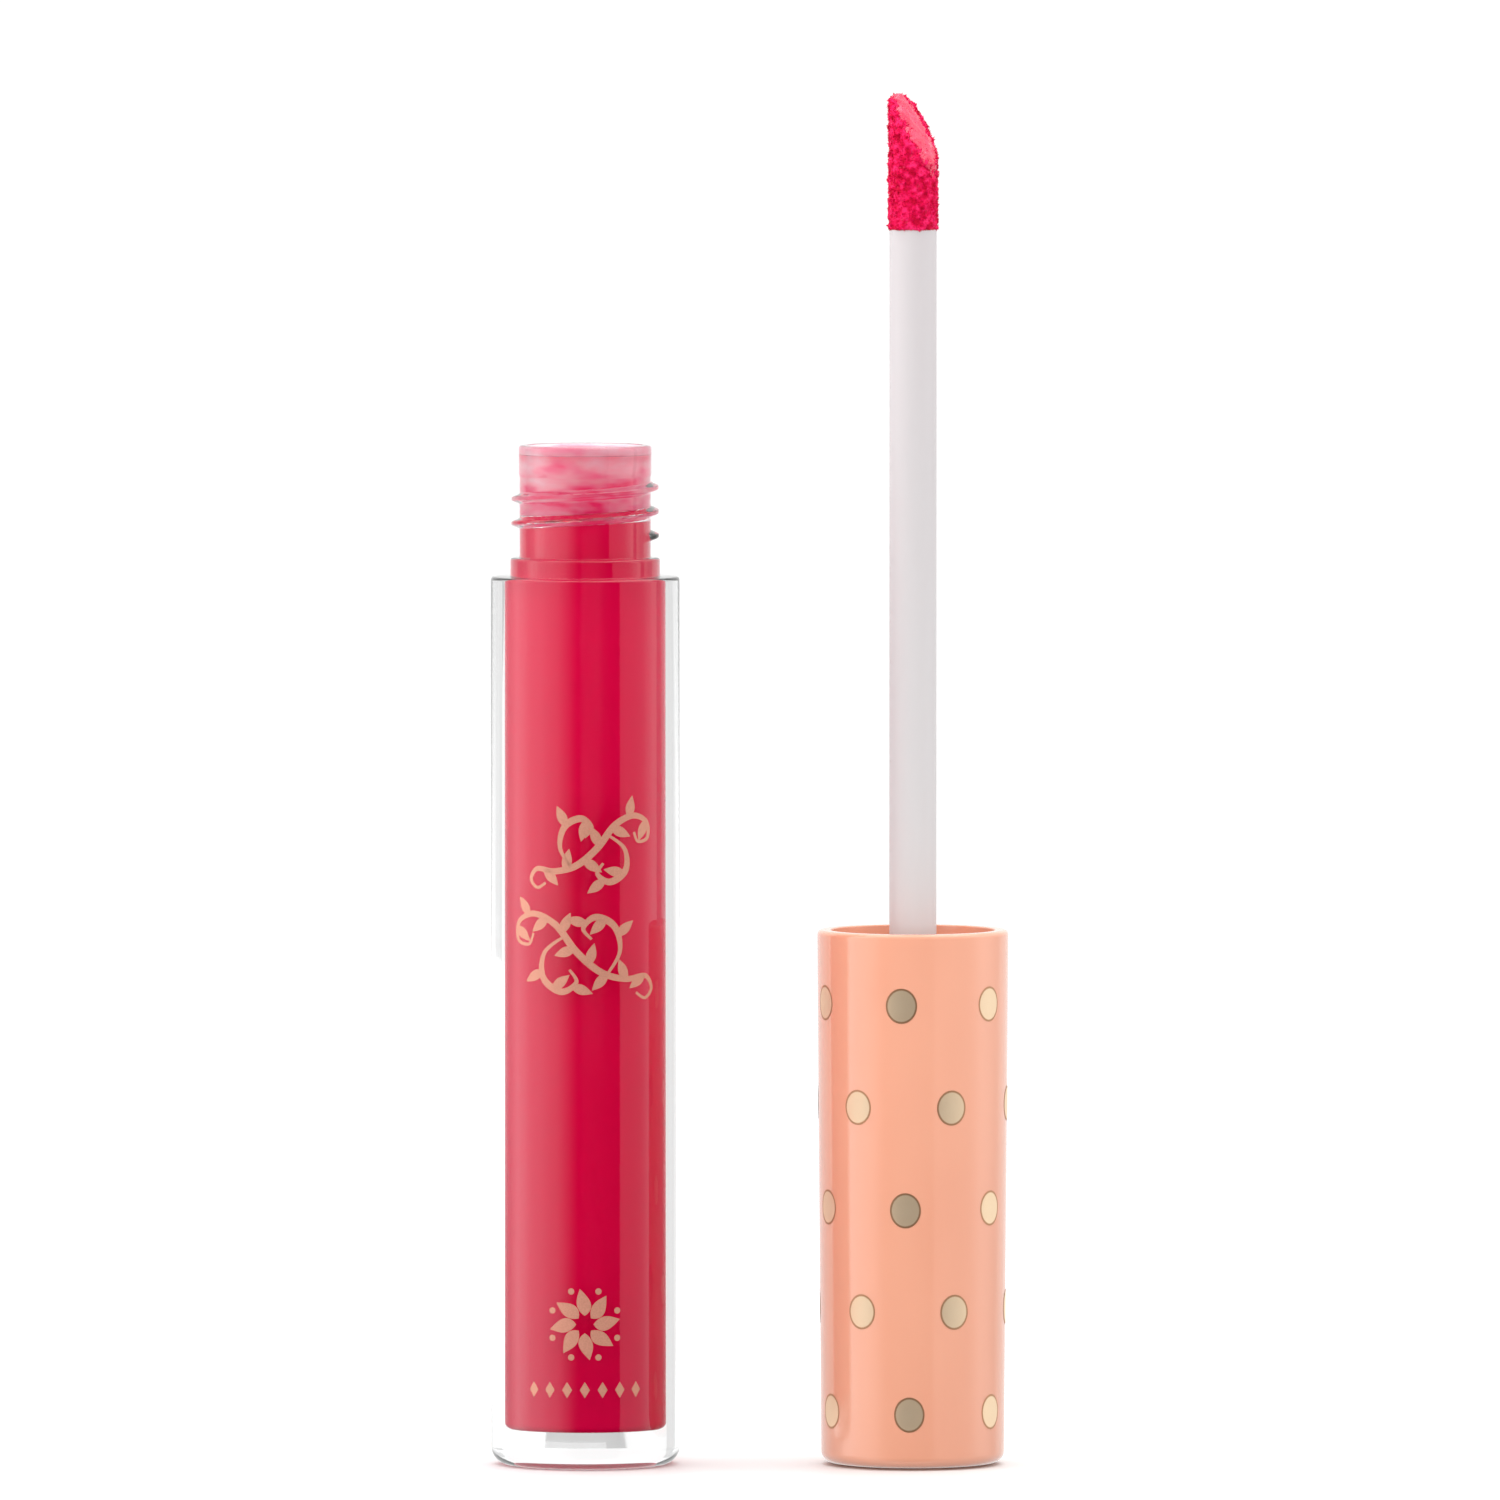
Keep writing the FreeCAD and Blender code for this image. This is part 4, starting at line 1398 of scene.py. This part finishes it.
def card(name, corners, material, foot_z=CARD_FOOT_Z, top_z=CARD_TOP_Z):
    """An upright card along a line of (x, y) corners; it stores the distance along it."""
    mesh = bpy.data.meshes.new(name)
    points, marks, walked = [], [], 0.0
    for index, (x, y) in enumerate(corners):
        if index:
            walked += math.dist(corners[index - 1], (x, y))
        points += [(x, y, foot_z), (x, y, top_z)]
        marks += [walked, walked]
    faces = [(i, i + 2, i + 3, i + 1) for i in range(0, len(points) - 2, 2)]
    mesh.from_pydata(points, [], faces)
    mesh.attributes.new("metre_mark", "FLOAT", "POINT").data.foreach_set("value", marks)
    mesh.materials.append(material)
    piece = bpy.data.objects.new(name, mesh)
    bpy.context.scene.collection.objects.link(piece)
    piece.visible_camera = False
    piece.visible_shadow = False
    return piece


left_glow = glow("left_glow", [
    (0.0, 0.0), (0.007, 0.13), (0.018, 0.53), (0.032, 1.08), (0.077, 1.7),
    (0.29, 2.5), (0.357, 2.8), (0.43, 1.4), (0.51, 0.9), (0.60, 0.9),
])
card("left_card", [(GAP_LEFT_X, CARD_Y), (-TENT_HALF, CARD_Y), (-TENT_HALF, TENT_BACK_Y)],
     left_glow)
right_glow = glow("right_glow", [
    (0.0, 0.60), (0.09, 0.75), (0.27, 1.1), (0.34, 1.7), (0.43, 1.3), (0.49, 0.9), (0.58, 0.9),
])
TENT_RIGHT_X = TENT_HALF + 30 * MM
card("right_card", [(GAP_RIGHT_X, CARD_Y), (TENT_RIGHT_X, CARD_Y), (TENT_RIGHT_X, TENT_BACK_Y)],
     right_glow)
flag_black, _, _ = new_material(
    "flag_black", Base_Color=(0.0, 0.0, 0.0, 1), Roughness=1.0, Specular_IOR_Level=0.0,
)
lens_gap = [(GAP_LEFT_X, CARD_Y), (GAP_RIGHT_X, CARD_Y)]
flag = card("lens_gap_flag", lens_gap, flag_black, top_z=BAND_Z)
flag.visible_diffuse = False
flag.visible_transmission = False
brow_glow = glow("brow_glow", [(0.0, 1.0), (GAP_RIGHT_X - GAP_LEFT_X, 1.0)])
card("brow_card", lens_gap, brow_glow, foot_z=BAND_Z)

# %% Overhead softbox and front fill
def softbox(name, wide, deep, watts, place, tilt=0.0):
    """A rectangular light that the lens never sees; it shines down unless it is tilted."""
    lamp = bpy.data.lights.new(name, "AREA")
    lamp.shape = "RECTANGLE"
    lamp.size = wide
    lamp.size_y = deep
    lamp.energy = watts
    light = bpy.data.objects.new(name, lamp)
    light.location = place
    light.rotation_euler = (tilt, 0, 0)
    light.visible_camera = False
    bpy.context.scene.collection.objects.link(light)
    return light


softbox("overhead_softbox", wide=0.5, deep=0.4, watts=0.9, place=(0.015, 0.02, 0.36))
front_fill = softbox("front_fill", wide=0.5, deep=0.2, watts=0.78, place=(0.015, -0.45, 0.06),
                     tilt=math.radians(90))
front_fill.visible_glossy = False

# %% [markdown]
# ## Camera
#
# A long lens from two metres away, about three degrees above the middle of the tube,
# so that upright edges stay parallel and round edges show as very flat ovals.

# %% Camera
AIM = Vector((14.3 * MM, 0, 62.1 * MM))
DISTANCE = 2.0
ELEVATION = math.radians(3.0)
VIEW_WIDTH = 130.2 * MM
SENSOR = 36.0
camera_data = bpy.data.cameras.new("camera")
camera_data.sensor_width = SENSOR
camera_data.lens = SENSOR * DISTANCE / VIEW_WIDTH
camera_data.clip_start = 0.1
camera_data.clip_end = 200.0
camera = bpy.data.objects.new("camera", camera_data)
backwards = Vector((0, -math.cos(ELEVATION), math.sin(ELEVATION)))
camera.location = AIM + backwards * DISTANCE
camera.rotation_mode = "QUATERNION"
camera.rotation_quaternion = (-backwards).to_track_quat("-Z", "Y")
bpy.context.scene.collection.objects.link(camera)
bpy.context.scene.camera = camera
bpy.context.scene.view_settings.view_transform = "Standard"
